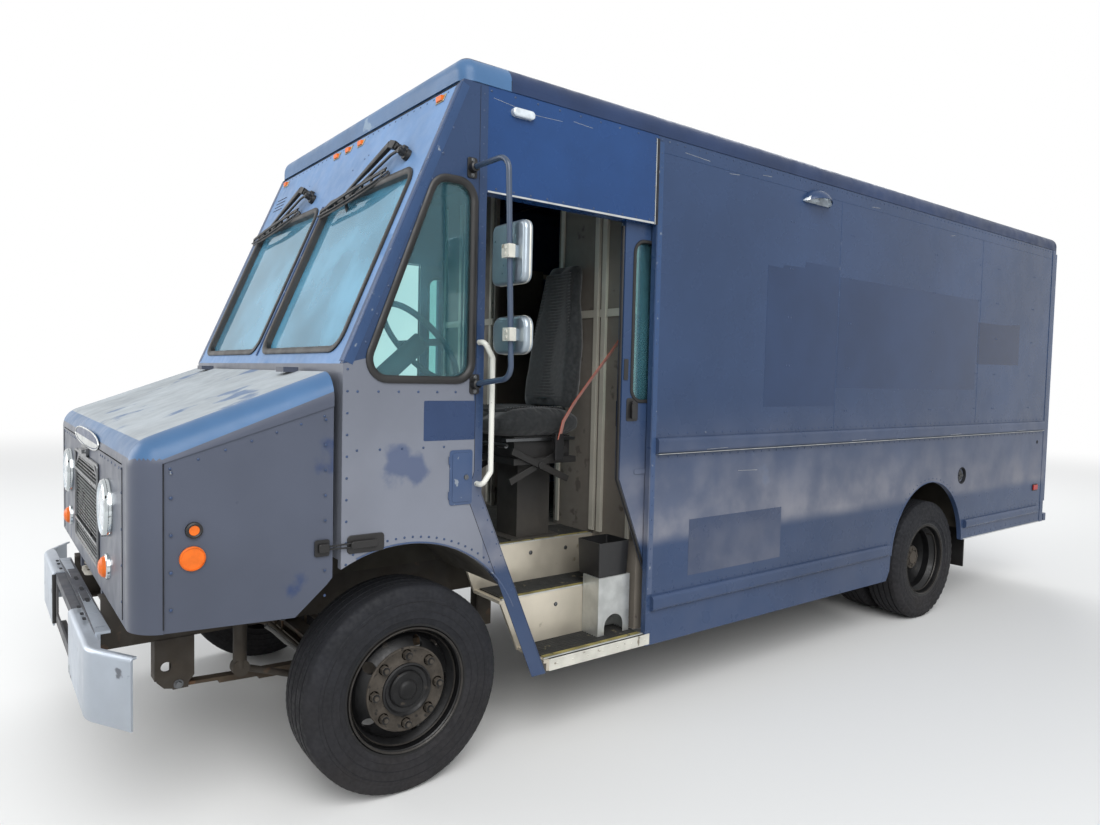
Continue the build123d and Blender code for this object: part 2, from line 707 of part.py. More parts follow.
# Cargo body
def cargo_sides():
    """Long side walls with the rear wheel arch."""
    outline = [(DOOR_REAR, SKIRT_Z), (3452, SKIRT_Z), (3490, 430), (3500, 560), (4480, 560), (4490, REAR_SKIRT_Z),
               (CORNER_Y, REAR_SKIRT_Z), (CORNER_Y, SIDE_TOP), (DOOR_REAR, SIDE_TOP)]
    wall = side_plate(outline, INNER, HALF_WIDTH)
    wall -= rod((INNER - 5, REAR_ARCH_Y, REAR_ARCH_Z), (HALF_WIDTH + 5, REAR_ARCH_Y, REAR_ARCH_Z), REAR_ARCH_RADIUS)
    for y in POSTS:
        wall += block(INNER - POST_DEPTH, INNER + 1, y - POST_HALF, y + POST_HALF, FLOOR_BOTTOM, SIDE_TOP)
    left = wall - rod((HALF_WIDTH - 18, 4453, 1008), (HALF_WIDTH + 5, 4453, 1008), 56)
    return [left, flip(wall)]


def rub_rails():
    """Half-round rails along the body: (first y, last y, low z, high z)."""
    rails = []
    table = ((1275, 5853, 1305, 1385), (1268, 3452, 535, 612), (4510, 5810, 612, 675))
    for y0, y1, z0, z1 in table:
        rail = block(HALF_WIDTH + SEAT, HALF_WIDTH + 24, y0, y1, z0, z1)
        outer = rail.edges().filter_by(Axis.Y).filter_by(lambda e: e.center().X > HALF_WIDTH + 20)
        rails += pair(fillet(outer, 20))
    return rails


def inner_panels():
    """Half bulkheads behind the seats and the inner faces of the door pockets."""
    bulkhead = block(320, POCKET_X0 - SEAT, DOOR_REAR, DOOR_REAR + 25, FLOOR_TOP + SEAT, ROOF_TOP - 45)
    bulkhead += block(645, POCKET_X0 - SEAT, DOOR_REAR, DOOR_REAR + 25, DOOR_BOTTOM - 5, FLOOR_TOP + SEAT)
    liner = block(POCKET_X0, POCKET_X1, DOOR_REAR, POCKET_REAR, DOOR_BOTTOM - 5, TRACK_TOP)
    liner += block(POCKET_X0, DOOR_X1, DOOR_REAR, POCKET_REAR, TRACK_Z, TRACK_TOP)
    return pair(bulkhead) + pair(liner)


def rear_frame():
    """Corner posts, header and lower panel round the rear opening."""
    frame = block(-HALF_WIDTH - 3, HALF_WIDTH + 3, CORNER_Y + SEAT, BODY_REAR, REAR_SKIRT_Z, SIDE_TOP)
    frame -= block(-REAR_OPENING_X, REAR_OPENING_X, CORNER_Y - 5, BODY_REAR + 5, FLOOR_TOP, REAR_OPENING_TOP)
    inside = INNER - 40
    frame -= block(-inside, inside, CORNER_Y - 5, BODY_REAR - REAR_WALL, REAR_SKIRT_Z - 5, FLOOR_TOP - 60)
    uprights = frame.edges().filter_by(Axis.Z).filter_by(lambda e: abs(e.center().X) > HALF_WIDTH
                                                         and e.center().Y > BODY_REAR - 1)
    return fillet(uprights, 35)


def rear_door():
    """Roll-up door, closed: a stack of slats with a groove at each joint."""
    slats = 9
    face = BODY_REAR - REAR_WALL
    inner = face - 25
    low = FLOOR_TOP + SEAT
    pitch = (REAR_OPENING_TOP - SEAT - low) / slats
    outline = [(inner, low), (face, low)]
    for i in range(1, slats):
        z = low + pitch * i
        outline += [(face, z - 8), (face - 10, z), (face, z + 8)]
    outline += [(face, REAR_OPENING_TOP - SEAT), (inner, REAR_OPENING_TOP - SEAT)]
    half = REAR_OPENING_X - SEAT
    return side_plate(outline, -half, half)


def rear_step():
    """Step bumper across the rear."""
    step = block(-HALF_WIDTH, HALF_WIDTH, BODY_REAR + SEAT, REAR_END, REAR_SKIRT_Z, REAR_SKIRT_Z + 62)
    edges = step.edges().filter_by(Axis.Z).filter_by(lambda e: e.center().Y > REAR_END - 1)
    return fillet(edges, 25)


def floor():
    """Cab and cargo floor, cut round wheels, steps and door pockets: (half width, first y, last y)."""
    behind = DOOR_REAR + 25 + SEAT
    cab = ((WELL_INNER - LINER - SEAT, COWL_Y, WELL_REAR + 20), (NOSE_TWO - 20, WELL_REAR + 19, behind))
    wide = INNER - POST_DEPTH - SEAT
    load = ((POCKET_X0 - SEAT, behind + SEAT, POCKET_REAR + 5), (wide, POCKET_REAR + 4, BOX_FRONT - SEAT),
            (BOX_INNER - SEAT, BOX_FRONT - 1, BOX_REAR + 1), (wide, BOX_REAR + SEAT, CORNER_Y))
    plates = []
    for table in (cab, load):
        strips = [block(-half, half, y0, y1, FLOOR_BOTTOM, FLOOR_TOP) for half, y0, y1 in table]
        plate = strips[0]
        for strip in strips[1:]:
            plate += strip
        plates.append(plate)
    return plates


def wheel_boxes():
    """Round liners over the front wheels and boxes over the rear ones."""
    half = INNER - SEAT
    low = FLOOR_BOTTOM - 10
    band = side_shape(arch_face(LINER), WELL_INNER - LINER, half)
    band -= side_shape(arch_face(), WELL_INNER, half + 5)
    keep = side_plate([(COWL_Y + 56, low), (door_edge(low) - 2, low), (door_edge(SKIRT_Z) - 2, SKIRT_Z + 14),
                       (800, 1200), (COWL_Y + 56, 1200)], WELL_INNER - 1, half + 5)
    keep += block(WELL_INNER - LINER - 1, WELL_INNER, COWL_Y + 56, WELL_REAR - 2, low, 1200)
    front = band & keep
    rear = block(BOX_INNER, half, BOX_FRONT, BOX_REAR, 600, BOX_TOP)
    rear -= block(BOX_INNER + LINER, half + 5, BOX_FRONT + LINER, BOX_REAR - LINER, 595, BOX_TOP - LINER)
    return pair(front) + pair(rear)


def step_wells():
    """Folded steps inside each doorway; risers are (low y, low z, high y, high z, nose x)."""
    end = DOOR_REAR - SEAT
    gap = 6
    front = (door_edge(TREAD_ONE - SHEET) + gap, door_edge(TREAD_TWO) + gap, door_edge(FLOOR_TOP) + gap)
    well = block(NOSE_ONE - SHEET, HALF_WIDTH, front[0], end, TREAD_ONE - SHEET, TREAD_ONE)
    well += block(INNER, HALF_WIDTH, door_edge(SILL_Z) + gap, end, SILL_Z, TREAD_ONE)
    risers = ((front[0], TREAD_ONE - SHEET, front[1], TREAD_TWO, NOSE_ONE),
              (front[1], TREAD_TWO - SHEET, front[2], FLOOR_TOP, NOSE_TWO))
    for low_y, low_z, high_y, high_z, nose in risers:
        well += side_plate([(low_y, low_z), (end, low_z), (end, high_z), (high_y, high_z)], nose - SHEET, nose)
    well += block(NOSE_TWO - SHEET, NOSE_ONE, front[1], end, TREAD_TWO - SHEET, TREAD_TWO)
    return pair(well)


def sliding_door():
    """Left sliding door, drawn open: its front edge follows the doorway's edge."""
    y = DOOR_FRONT + 4 + DOOR_TRAVEL
    bend = DOOR_BEND_Z
    foot = y + (bend - DOOR_BOTTOM) * EDGE_LEAN
    back = y + 970
    top = TRACK_Z - SEAT
    door = side_plate([(y, bend), (y, top), (back, top), (back, DOOR_BOTTOM), (foot, DOOR_BOTTOM)], DOOR_X0, DOOR_X1)
    return door - side_shape(door_window_face(0), DOOR_X0 - 5, DOOR_X1 + 5)


def door_window_face(grow):
    """The door's window opening."""
    y = DOOR_FRONT + 4 + DOOR_TRAVEL
    return rounded(y + 60 - grow, y + 880 + grow, 1560 - grow, 2320 + grow, 80 + grow)


def door_glass():
    """Glass of the left sliding door."""
    return side_shape(door_window_face(-SEAT), DOOR_X0 + 14, DOOR_X0 + 20)


# Inside the cab
SEAT_X = 500
COLUMN_FOOT = (SEAT_X, -120, 1450)
COLUMN_HEAD = (SEAT_X, 280, 1800)


def seat_base():
    """Pedestal under the driver's seat."""
    base = block(SEAT_X - 150, SEAT_X + 130, 740, 1040, FLOOR_TOP + SEAT, 865)
    base += block(SEAT_X - 90, SEAT_X + 90, 800, 1000, 860, 1250)
    base += block(SEAT_X - 200, SEAT_X + 200, 700, 1080, 1240, 1270)
    base += block(SEAT_X - 170, SEAT_X + 170, 720, 1060, 1265, 1374)
    return base


def seat_cushion():
    """Seat cushion."""
    cushion = block(SEAT_X - 230, SEAT_X + 230, 620, 1110, 1374 + SEAT, 1500)
    return fillet(cushion.edges().filter_by(Axis.X) + cushion.edges().filter_by(Axis.Z), 40)


def seat_back():
    """High seat back, narrower at the top."""
    outline = [(SEAT_X - 215, 1500 + SEAT), (SEAT_X + 215, 1500 + SEAT), (SEAT_X + 215, 1850), (SEAT_X + 150, 2050),
               (SEAT_X + 130, 2260), (SEAT_X - 130, 2260), (SEAT_X - 150, 2050), (SEAT_X - 215, 1850)]
    slab = cross_plate(outline, 1020, 1200)
    keep = side_plate([(1025, 1500), (1150, 1500), (1195, 2270), (1110, 2270)], 0, 1000)
    return slab & keep


def dash():
    """Instrument panel across the cab with the steering column."""
    y0 = COWL_Y + 55
    panel = side_plate([(y0, 1300), (-60, 1300), (-40, 1400), (-110, 1560), (y0, 1620)], -1035, 1035)
    return panel + rod(COLUMN_FOOT, COLUMN_HEAD, 45)


def steering_wheel():
    """Rim, spokes and hub, leaning towards the seat."""
    along = (Vector(*COLUMN_HEAD) - Vector(*COLUMN_FOOT)).normalized()
    plane = Plane(origin=Vector(*COLUMN_HEAD) + along * (15 + SEAT), x_dir=(1, 0, 0), z_dir=along)
    wheel = plane * Torus(225, 14)
    wheel += plane * Pos(0, 0, 0) * Cylinder(45, 30)
    wheel += plane * Box(440, 30, 12)
    return wheel


# Outside fittings
MIRROR_X = 1300
MIRROR_TOP = (MIRROR_X, 234, 2490)
MIRROR_LOW = (MIRROR_X, 264, 1660)
TUBE = 11
MIRROR_BEND = 55
MIRROR_DEPTH = 35
MIRROR_ROUND = 14


def mirror_arms():
    """Loop of tube that carries the mirrors on each side."""
    foot = HALF_WIDTH + SEAT
    arm = tube_run([(foot, 215, 2482), MIRROR_TOP, MIRROR_LOW, (foot, 242, 1632)], TUBE, MIRROR_BEND)
    arm -= block(HALF_WIDTH - 40, foot, 100, 400, 1500, 2600)
    return pair(arm)


def mirror_heads():
    """Tall mirror above and short mirror below on each side, with rounded backs: (middle z, height, corner)."""
    table = ((2135, 235, 35), (1825, 145, 45))
    heads = []
    tube = rod(MIRROR_TOP, MIRROR_LOW, TUBE + SEAT)
    for z, high, corner in table:
        y = MIRROR_TOP[1] + (MIRROR_LOW[1] - MIRROR_TOP[1]) * (MIRROR_TOP[2] - z) / (MIRROR_TOP[2] - MIRROR_LOW[2])
        back = y + 20
        head = block(MIRROR_X - 160, MIRROR_X + 68, back, back + MIRROR_DEPTH, z - high / 2, z + high / 2)
        head = fillet(head.edges().filter_by(Axis.Y), corner)
        rim = head.edges().filter_by(lambda e: abs(e.center().Y - back) < 0.1 and e.bounding_box().size.Y < 0.1)
        head = fillet(rim, MIRROR_ROUND)
        clamp = block(MIRROR_X - 20, MIRROR_X + 20, y - 17, back + MIRROR_ROUND, z - 22, z + 22)
        heads += pair(head + (clamp - tube))
    return heads


GRAB_X = 1115
GRAB_Y = 300
GRAB_FOOT_Y = 262
GRAB_LOW = 1230
GRAB_HIGH = 1800
GRAB_BEND = 20


def grab_handles():
    """Upright grab bar at the front of each doorway."""
    foot = HALF_WIDTH + SEAT
    upper = [(foot, GRAB_FOOT_Y, GRAB_HIGH), (GRAB_X, GRAB_FOOT_Y, GRAB_HIGH), (GRAB_X, GRAB_Y, GRAB_HIGH - 60)]
    lower = [(GRAB_X, GRAB_Y, GRAB_LOW + 50), (GRAB_X, GRAB_FOOT_Y, GRAB_LOW), (foot, GRAB_FOOT_Y, GRAB_LOW)]
    return pair(tube_run(upper + lower, TUBE, GRAB_BEND))


def wipers():
    """Two wipers parked along the tops of the panes: (pivot x, tip x)."""
    arms = []
    for x0, x1 in ((777, 60), (-290, -920)):
        pivot = (x0, screen_y(2579) - 22, 2579)
        tip = (x1, screen_y(2420) - 30, 2420)
        arm = rod(pivot, tip, 9)
        arm += block(x0 - 30, x0 + 30, screen_y(2579) - 34, screen_y(2560), 2560, 2600)
        arm -= side_plate([(screen_y(2300) - SEAT, 2300), (400, 2300), (400, 2700), (screen_y(2700) - SEAT, 2700)],
                          -1100, 1100)
        arms.append(arm)
    return arms


SCOOP_Y = 2510
SCOOP_Z = 2684
SCOOP_HALF = 128
SCOOP_OUT = 84
SCOOP_WALL = 4
SCOOP_RISE = 24
SCOOP_LENS = 24


def scoop_dome(inset):
    """The scoop lamp's hood as a closed form turned about its own length, centred on the wall."""
    half = SCOOP_HALF - inset
    arc = ThreePointArc((-half, 0), (0, SCOOP_OUT - inset), (half, 0))
    face = make_face(arc + Polyline([(half, 0), (-half, 0)]))
    dome = revolve(Plane(origin=(0, 0, 0), x_dir=(0, 1, 0), z_dir=(1, 0, 0)) * face, Axis.Y)
    return Pos(HALF_WIDTH + SEAT, SCOOP_Y, SCOOP_Z) * dome


def scoop_lamp():
    """A lamp on the wall under a shell-shaped hood whose open mouth faces down and outwards."""
    face = HALF_WIDTH + SEAT
    out = face + SCOOP_OUT
    high = SCOOP_Z + SCOOP_OUT + 5
    half = SCOOP_HALF + 5
    keep = cross_plate([(face, SCOOP_Z), (out, SCOOP_Z + SCOOP_RISE), (out, high), (face, high)],
                       SCOOP_Y - half, SCOOP_Y + half)
    shell = (scoop_dome(0) - scoop_dome(SCOOP_WALL)) & keep
    plate = scoop_dome(0) & block(face, face + SCOOP_WALL, SCOOP_Y - half, SCOOP_Y + half, SCOOP_Z + 2, high)
    middle = SCOOP_Z + 40
    return shell + plate + rod((face, SCOOP_Y, middle), (face + 30, SCOOP_Y, middle), SCOOP_LENS)


def body_lamps():
    """Lamps on the body: cap markers, side lamps, hooded lamps and the rear lamps."""
    lamps = []
    for x in (-930, -150, 0, 150, 930):
        y = screen_y(2770)
        marker = block(x - 22, x + 22, y - 14, y + 30, 2760, 2780)
        marker -= side_plate([(screen_y(2700) - SEAT, 2700), (600, 2700), (600, 2900), (screen_y(2900) - SEAT, 2900)],
                             -1100, 1100)
        lamps.append(marker)
    face = HALF_WIDTH + SEAT
    oblong = side_shape(rounded(395, 505, 2722, 2758, 17), face, face + 22)
    lamps += pair(fillet(oblong.edges().filter_by(lambda e: e.center().X > face + 21), 8))
    lamps += pair(scoop_lamp())
    marker_y = CORNER_Y - 122
    lamps += pair(block(face, HALF_WIDTH + 10, marker_y - 40, marker_y + 40, 809, 849))
    for z in (640, 740):
        lamps += pair(rod_y(950, z, BODY_REAR + SEAT, BODY_REAR + 22, 50))
    lamps += pair(rod_y(900, 2700, BODY_REAR + SEAT, BODY_REAR + 18, 30))
    return lamps


def mud_flaps():
    """Flaps behind the rear wheels."""
    return pair(block(500, 1030, 4620, 4632, 300, FLOOR_BOTTOM - SEAT))


# Wheels
def tyre(x):
    """One tyre centred at x on an axle at y = 0."""
    half = TYRE_WIDTH / 2
    bead = RIM_SEAT + SEAT
    profile = [(-95, bead), (-106, 268), (-half, 320), (-half + 3, 370), (-108, 400), (-92, 411), (-40, TYRE_RADIUS),
               (40, TYRE_RADIUS), (92, 411), (108, 400), (half - 3, 370), (half, 320), (106, 268), (95, bead),
               (70, bead), (70, 270), (95, 330), (80, 395), (-80, 395), (-95, 330), (-70, 270), (-70, bead)]
    return turned(profile, x, 0, TYRE_RADIUS)


def rim_barrel(x):
    """The rim's barrel and flanges at x."""
    profile = [(-112, 262), (-104, 262), (-98, RIM_SEAT), (-60, RIM_SEAT - 4), (-40, 222), (30, 222), (60, RIM_SEAT - 4),
               (98, RIM_SEAT), (104, 262), (112, 262), (112, 254), (100, 240), (62, 236), (34, 212), (-44, 212),
               (-62, 236), (-100, 240), (-112, 254)]
    return turned(profile, x, 0, TYRE_RADIUS)


def front_rim():
    """Front wheel disc, rim and hub, with hand holes and wheel nuts."""
    z = TYRE_RADIUS
    x = FRONT_TRACK_X
    wheel = rim_barrel(x)
    bore = SPINDLE_RADIUS + RUNNING
    disc = [(20, 222), (60, 200), (92, 165), (92, bore), (-10, bore), (-10, 75), (40, 80), (82, 100), (82, 160),
            (50, 190), (0, 214)]
    wheel += turned(disc, x, 0, z)
    for hole in ring_holes(x - 60, x + 150, 0, z, 366, 5, 22):
        wheel -= hole
    cap = [(88, 0), (88, 105), (105, 105), (108, 98), (98, 90), (93, 62), (104, 50), (112, 34), (115, 0)]
    wheel += turned(cap, x, 0, z)
    for nut in ring_holes(x + 90, x + 118, 0, z, STUD_CIRCLE, STUDS, 15):
        wheel += nut
    return wheel


def rear_rim():
    """Twin rims on one hub: both discs meet at the mounting face."""
    z = TYRE_RADIUS
    x = REAR_OUTER_X - DUAL_SPACING / 2
    bore = REAR_SPINDLE_RADIUS + RUNNING
    wheel = rim_barrel(REAR_OUTER_X) + rim_barrel(REAR_OUTER_X - DUAL_SPACING)
    for side in (-1, 1):
        disc = [(0, bore), (0, 165), (side * 30, 190), (side * 115, 222), (side * 135, 214), (side * 45, 182),
                (side * 12, 155), (side * 12, bore)]
        wheel += turned(disc, x, 0, z)
    for hole in ring_holes(x - 100, x + 100, 0, z, 376, 5, 20):
        wheel -= hole
    wheel += turned([(11, bore), (11, 105), (30, 105), (40, 92), (140, 88), (150, 80), (150, bore)], x, 0, z)
    for nut in ring_holes(x + 10, x + 38, 0, z, STUD_CIRCLE, STUDS, 15):
        wheel += nut
    return wheel


EAR_REACH = 85


def knuckle():
    """Left steering knuckle: two ears on the kingpin, the spindle and the steering arm."""
    z = TYRE_RADIUS
    ears = block(KINGPIN_X - 30, KINGPIN_X + 75, -32, 32, z + 48.5, z + EAR_REACH)
    ears += block(KINGPIN_X - 30, KINGPIN_X + 75, -32, 32, z - EAR_REACH, z - 48.5)
    ears += block(KINGPIN_X + 48, KINGPIN_X + 75, -45, 45, z - EAR_REACH, z + EAR_REACH)
    ears += rod((KINGPIN_X + 70, 0, z), (FRONT_TRACK_X + 80, 0, z), SPINDLE_RADIUS)
    arm = make_face(Polyline([(KINGPIN_X - 28, 20), (KINGPIN_X + 20, 32), (ARM_X + 22, ARM_Y + 15),
                              (ARM_X - 22, ARM_Y + 15), (ARM_X - 22, ARM_Y - 20)], close=True))
    ears += extrude(Plane.XY.offset(z - EAR_REACH) * arm, 22)
    bore = Pos(KINGPIN_X, 0, z) * Cylinder(PIN_RADIUS + RUNNING, 200)
    return ears - bore


ARM_X = 700
ARM_Y = 160


def tie_rod():
    """Rod between the two steering arms."""
    z = TYRE_RADIUS - EAR_REACH - 30
    bar = rod((-ARM_X, ARM_Y, z), (ARM_X, ARM_Y, z), 16)
    for side in (-1, 1):
        bar += cylinder_up(side * ARM_X, ARM_Y, z - 16, TYRE_RADIUS - EAR_REACH - SEAT, 22)
    return bar


def place_parts():
    """Build every node in the axle's frame."""
    parts.update(
        chassis_frame=chassis_frame(), engine_block=engine_block(), front_axle=front_axle(), sway_bar=sway_bar(),
        leaf_springs=leaf_springs(), rear_axle=rear_axle(), fuel_tank=fuel_tank(), exhaust=exhaust(),
        front_bumper=front_bumper(), hood=hood(), grille=grille(), headlamps=headlamps(),
        turn_signals=turn_signals(), cab_front=cab_front(), cab_sides=cab_sides(), cab_glass=cab_glass(),
        window_rubbers=window_rubbers(), door_headers=door_headers(), roof=roof(), roof_cap=roof_cap(),
        cargo_sides=cargo_sides(), rub_rails=rub_rails(), inner_panels=inner_panels(), rear_frame=rear_frame(),
        rear_door=rear_door(), rear_step=rear_step(), floor=floor(), wheel_boxes=wheel_boxes(),
        step_wells=step_wells(), seat_base=seat_base(), seat_cushion=seat_cushion(), seat_back=seat_back(),
        dash=dash(), steering_wheel=steering_wheel(), mirror_arms=mirror_arms(), mirror_heads=mirror_heads(),
        grab_handles=grab_handles(), wipers=wipers(), body_lamps=body_lamps(), mud_flaps=mud_flaps(),
        tie_rod=tie_rod())
    door = sliding_door()
    glass = door_glass()
    steer = knuckle()
    front_tyre = tyre(FRONT_TRACK_X)
    front_wheel = front_rim()
    rear = Pos(0, WHEELBASE, 0)
    twin = [rear * tyre(REAR_OUTER_X), rear * tyre(REAR_OUTER_X - DUAL_SPACING)]
    twin_rim = rear * rear_rim()
    parts["door_left"] = door
    parts["door_right"] = flip(door)
    parts["door_glass_left"] = glass
    parts["door_glass_right"] = flip(glass)
    parts["knuckle_left"] = steer
    parts["knuckle_right"] = flip(steer)
    parts["tyre_front_left"] = front_tyre
    parts["tyre_front_right"] = flip(front_tyre)
    parts["rim_front_left"] = front_wheel
    parts["rim_front_right"] = flip(front_wheel)
    parts["tyre_rear_left"] = twin
    parts["tyre_rear_right"] = [flip(piece) for piece in twin]
    parts["rim_rear_left"] = twin_rim
    parts["rim_rear_right"] = flip(twin_rim)


def export_parts():
    """Write one STEP file per node, moved so that the van's middle is the origin."""
    os.makedirs("parts", exist_ok=True)
    move = Pos(0, TO_MIDDLE, 0)
    for name, shape in parts.items():
        solids = shape if isinstance(shape, list) else [shape]
        moved = [move * solid for solid in solids]
        body = moved[0] if len(moved) == 1 else Compound(children=moved)
        export_step(body, f"parts/{name}.step")


place_parts()
export_parts()
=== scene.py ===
"""Dresses the walk-in step van: finishes for every CAD node, trim, tyres, seat and lamps, in a plain studio.

Lengths are metres in the van's own frame: +X is the driver's side, the van faces -Y and +Z is up.
Places that were measured from the front axle go through van(), which adds the axle's place along Y.
"""

import logging
import math
from dataclasses import dataclass
from enum import Enum
from typing import Callable, Iterable, Sequence

import bpy
from mathutils import Matrix, Vector


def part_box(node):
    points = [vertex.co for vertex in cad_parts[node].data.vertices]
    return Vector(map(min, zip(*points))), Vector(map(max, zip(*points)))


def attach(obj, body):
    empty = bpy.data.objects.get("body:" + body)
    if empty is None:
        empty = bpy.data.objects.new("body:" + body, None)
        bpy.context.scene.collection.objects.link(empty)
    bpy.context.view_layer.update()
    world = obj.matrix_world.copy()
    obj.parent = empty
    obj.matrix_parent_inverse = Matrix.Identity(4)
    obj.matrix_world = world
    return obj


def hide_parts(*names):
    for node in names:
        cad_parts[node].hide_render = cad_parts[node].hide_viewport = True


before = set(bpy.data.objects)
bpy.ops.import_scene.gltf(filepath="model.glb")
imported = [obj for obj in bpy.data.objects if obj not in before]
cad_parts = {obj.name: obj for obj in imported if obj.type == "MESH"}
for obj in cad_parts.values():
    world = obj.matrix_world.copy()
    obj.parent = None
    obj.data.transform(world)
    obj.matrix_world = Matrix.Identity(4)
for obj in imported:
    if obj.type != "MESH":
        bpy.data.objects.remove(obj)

Point = tuple[float, float, float]
Flat = tuple[float, float]
Colour = tuple[float, float, float]
Row = tuple[float, float, float, float, float]
Place = Callable[[float, float, float], Vector]
Socket = bpy.types.NodeSocket

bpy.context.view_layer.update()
AXLE_Y = sum(corner.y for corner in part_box("tyre_front_left")) / 2
AXLE_Z = sum(corner.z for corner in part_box("tyre_front_left")) / 2
REAR_AXLE_Y = sum(corner.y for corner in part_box("tyre_rear_left")) / 2
SIDE_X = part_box("cargo_sides")[1].x
ROOT = "van"
# Directions: OUTWARD is the driver's side, AHEAD is where the van faces
OUTWARD = Vector((1, 0, 0))
AHEAD = Vector((0, -1, 0))
BACKWARD = Vector((0, 1, 0))
UPWARD = Vector((0, 0, 1))
# CORE is the radius at which a turned shape closes, HEAD a rivet's radius, HAIR a trim's lift off its sheet
CORE = 0.0005
HEAD = 0.0052
HAIR = 0.0002
# The doorways' front edge stands at DOORWAY_Y and leans forward below BEND_Z
BEND_Z = 1.19
DOOR_LEAN = 0.427
DOORWAY_Y = 0.286
log = logging.getLogger("step_van")


def van(x: float, y: float, z: float) -> Vector:
    """A point measured from the front axle, in the van's frame.

    Args:
        x: distance to the driver's side of the middle.
        y: distance behind the front axle.
        z: height above the ground.

    Returns:
        The point.
    """
    return Vector((x, y + AXLE_Y, z))


def srgb(red: int, green: int, blue: int) -> Colour:
    """A colour given as eight-bit display values, as linear light.

    Args:
        red: red from 0 to 255.
        green: green from 0 to 255.
        blue: blue from 0 to 255.

    Returns:
        The linear colour.
    """
    def linear(value: int) -> float:
        """One channel as linear light."""
        part = value / 255
        return part / 12.92 if part <= 0.04045 else ((part + 0.055) / 1.055) ** 2.4

    return linear(red), linear(green), linear(blue)


def turns(count: int) -> list[float]:
    """Angles spaced evenly round a circle, in radians."""
    return [2 * math.pi * k / count for k in range(count)]


def squared(value: float, power: float) -> float:
    """A sine or cosine pushed towards 1, which makes a round outline squarer."""
    return math.copysign(abs(value) ** power, value)


def off_axle(radius: float, angle: float) -> Vector:
    """A step away from an axle that runs along X."""
    return Vector((0, radius * math.sin(angle), radius * math.cos(angle)))


class Side(Enum):
    """The two sides of the van, as the sign of X."""

    LEFT = 1
    RIGHT = -1

    @property
    def word(self) -> str:
        """The side's name in lower case."""
        return self.name.lower()


class Grain(Enum):
    """How a finish's fine relief runs."""

    NONE = "none"
    SPECKLE = "speckle"
    BRUSHED = "brushed"
    WEAVE = "weave"
    LEATHERY = "leathery"


class Wiring:
    """Short calls for a material's node tree."""

    def __init__(self, owner: bpy.types.Material | bpy.types.World) -> None:
        """Empty the tree and keep it.

        Args:
            owner: the material or world to wire.
        """
        owner.use_nodes = True
        self.tree = owner.node_tree
        self.tree.nodes.clear()

    def node(self, kind: str, inputs: dict[str, object] | None = None, **values: object) -> bpy.types.Node:
        """Add a node.

        Args:
            kind: the node's type name.
            inputs: values of its input sockets by name.
            values: properties of the node.

        Returns:
            The node.
        """
        made = self.tree.nodes.new(kind)
        for key, value in values.items():
            setattr(made, key, value)
        for key, value in (inputs or {}).items():
            made.inputs[key].default_value = value
        return made

    def join(self, source: Socket, target: Socket) -> None:
        """Link one socket to another."""
        self.tree.links.new(source, target)

    def noise(self, coords: Socket, scale: float, detail: float = 4,
              stretch: Point = (1, 1, 1)) -> Socket:
        """A noise factor in the object's own coordinates.

        Args:
            coords: the coordinate socket.
            scale: noise cells per metre.
            detail: octaves.
            stretch: scale along each axis.

        Returns:
            The factor's socket.
        """
        mapping = self.node("ShaderNodeMapping", {"Scale": stretch})
        self.join(coords, mapping.inputs["Vector"])
        noise = self.node("ShaderNodeTexNoise", {"Scale": scale, "Detail": detail})
        self.join(mapping.outputs["Vector"], noise.inputs["Vector"])
        return noise.outputs["Fac"]

    def remap(self, value: Socket, low: float, high: float, to_low: float = 0,
              to_high: float = 1) -> Socket:
        """Map a range of a value on to another, clamped and smooth.

        Args:
            value: the socket to map.
            low: value that becomes to_low.
            high: value that becomes to_high.
            to_low: first result.
            to_high: last result.

        Returns:
            The mapped socket.
        """
        limits = {"From Min": low, "From Max": high, "To Min": to_low, "To Max": to_high}
        mapped = self.node("ShaderNodeMapRange", limits, interpolation_type="SMOOTHSTEP")
        self.join(value, mapped.inputs["Value"])
        return mapped.outputs["Result"]

    def math(self, operation: str, first: object, second: object) -> Socket:
        """Combine two values.

        Args:
            operation: the Math node's operation.
            first: a socket or number.
            second: a socket or number.

        Returns:
            The result's socket.
        """
        made = self.node("ShaderNodeMath", operation=operation)
        for place, value in enumerate((first, second)):
            if isinstance(value, (int, float)):
                made.inputs[place].default_value = value
            else:
                self.join(value, made.inputs[place])
        return made.outputs["Value"]

    def mix(self, factor: Socket, first: object, second: object) -> Socket:
        """Mix two colours.

        Args:
            factor: how much of the second shows.
            first: a colour or socket.
            second: a colour or socket.

        Returns:
            The mixed colour's socket.
        """
        made = self.node("ShaderNodeMix", data_type="RGBA")
        self.join(factor, made.inputs["Factor"])
        for place, value in ((6, first), (7, second)):
            if isinstance(value, tuple):
                made.inputs[place].default_value = (*value, 1)
            else:
                self.join(value, made.inputs[place])
        return made.outputs[2]

    def blend(self, factor: Socket, first: Socket, second: Socket) -> Socket:
        """Mix two shaders.

        Args:
            factor: how much of the second shows.
            first: a shader's socket.
            second: a shader's socket.

        Returns:
            The mixed shader's socket.
        """
        made = self.node("ShaderNodeMixShader")
        for place, source in enumerate((factor, first, second)):
            self.join(source, made.inputs[place])
        return made.outputs["Shader"]

    def bump(self, height: Socket, distance: float, strength: float) -> bpy.types.Node:
        """A bump node.

        Args:
            height: the height's socket.
            distance: the relief's depth.
            strength: its strength.

        Returns:
            The node.
        """
        made = self.node("ShaderNodeBump", {"Distance": distance, "Strength": strength})
        self.join(height, made.inputs["Height"])
        return made


LACQUER_IOR = 1.45
COAT_ROUGH = 0.08
WORN_ROUGH = 0.55
DUST_ROUGH = 0.6


MADE: dict[str, bpy.types.Material] = {}


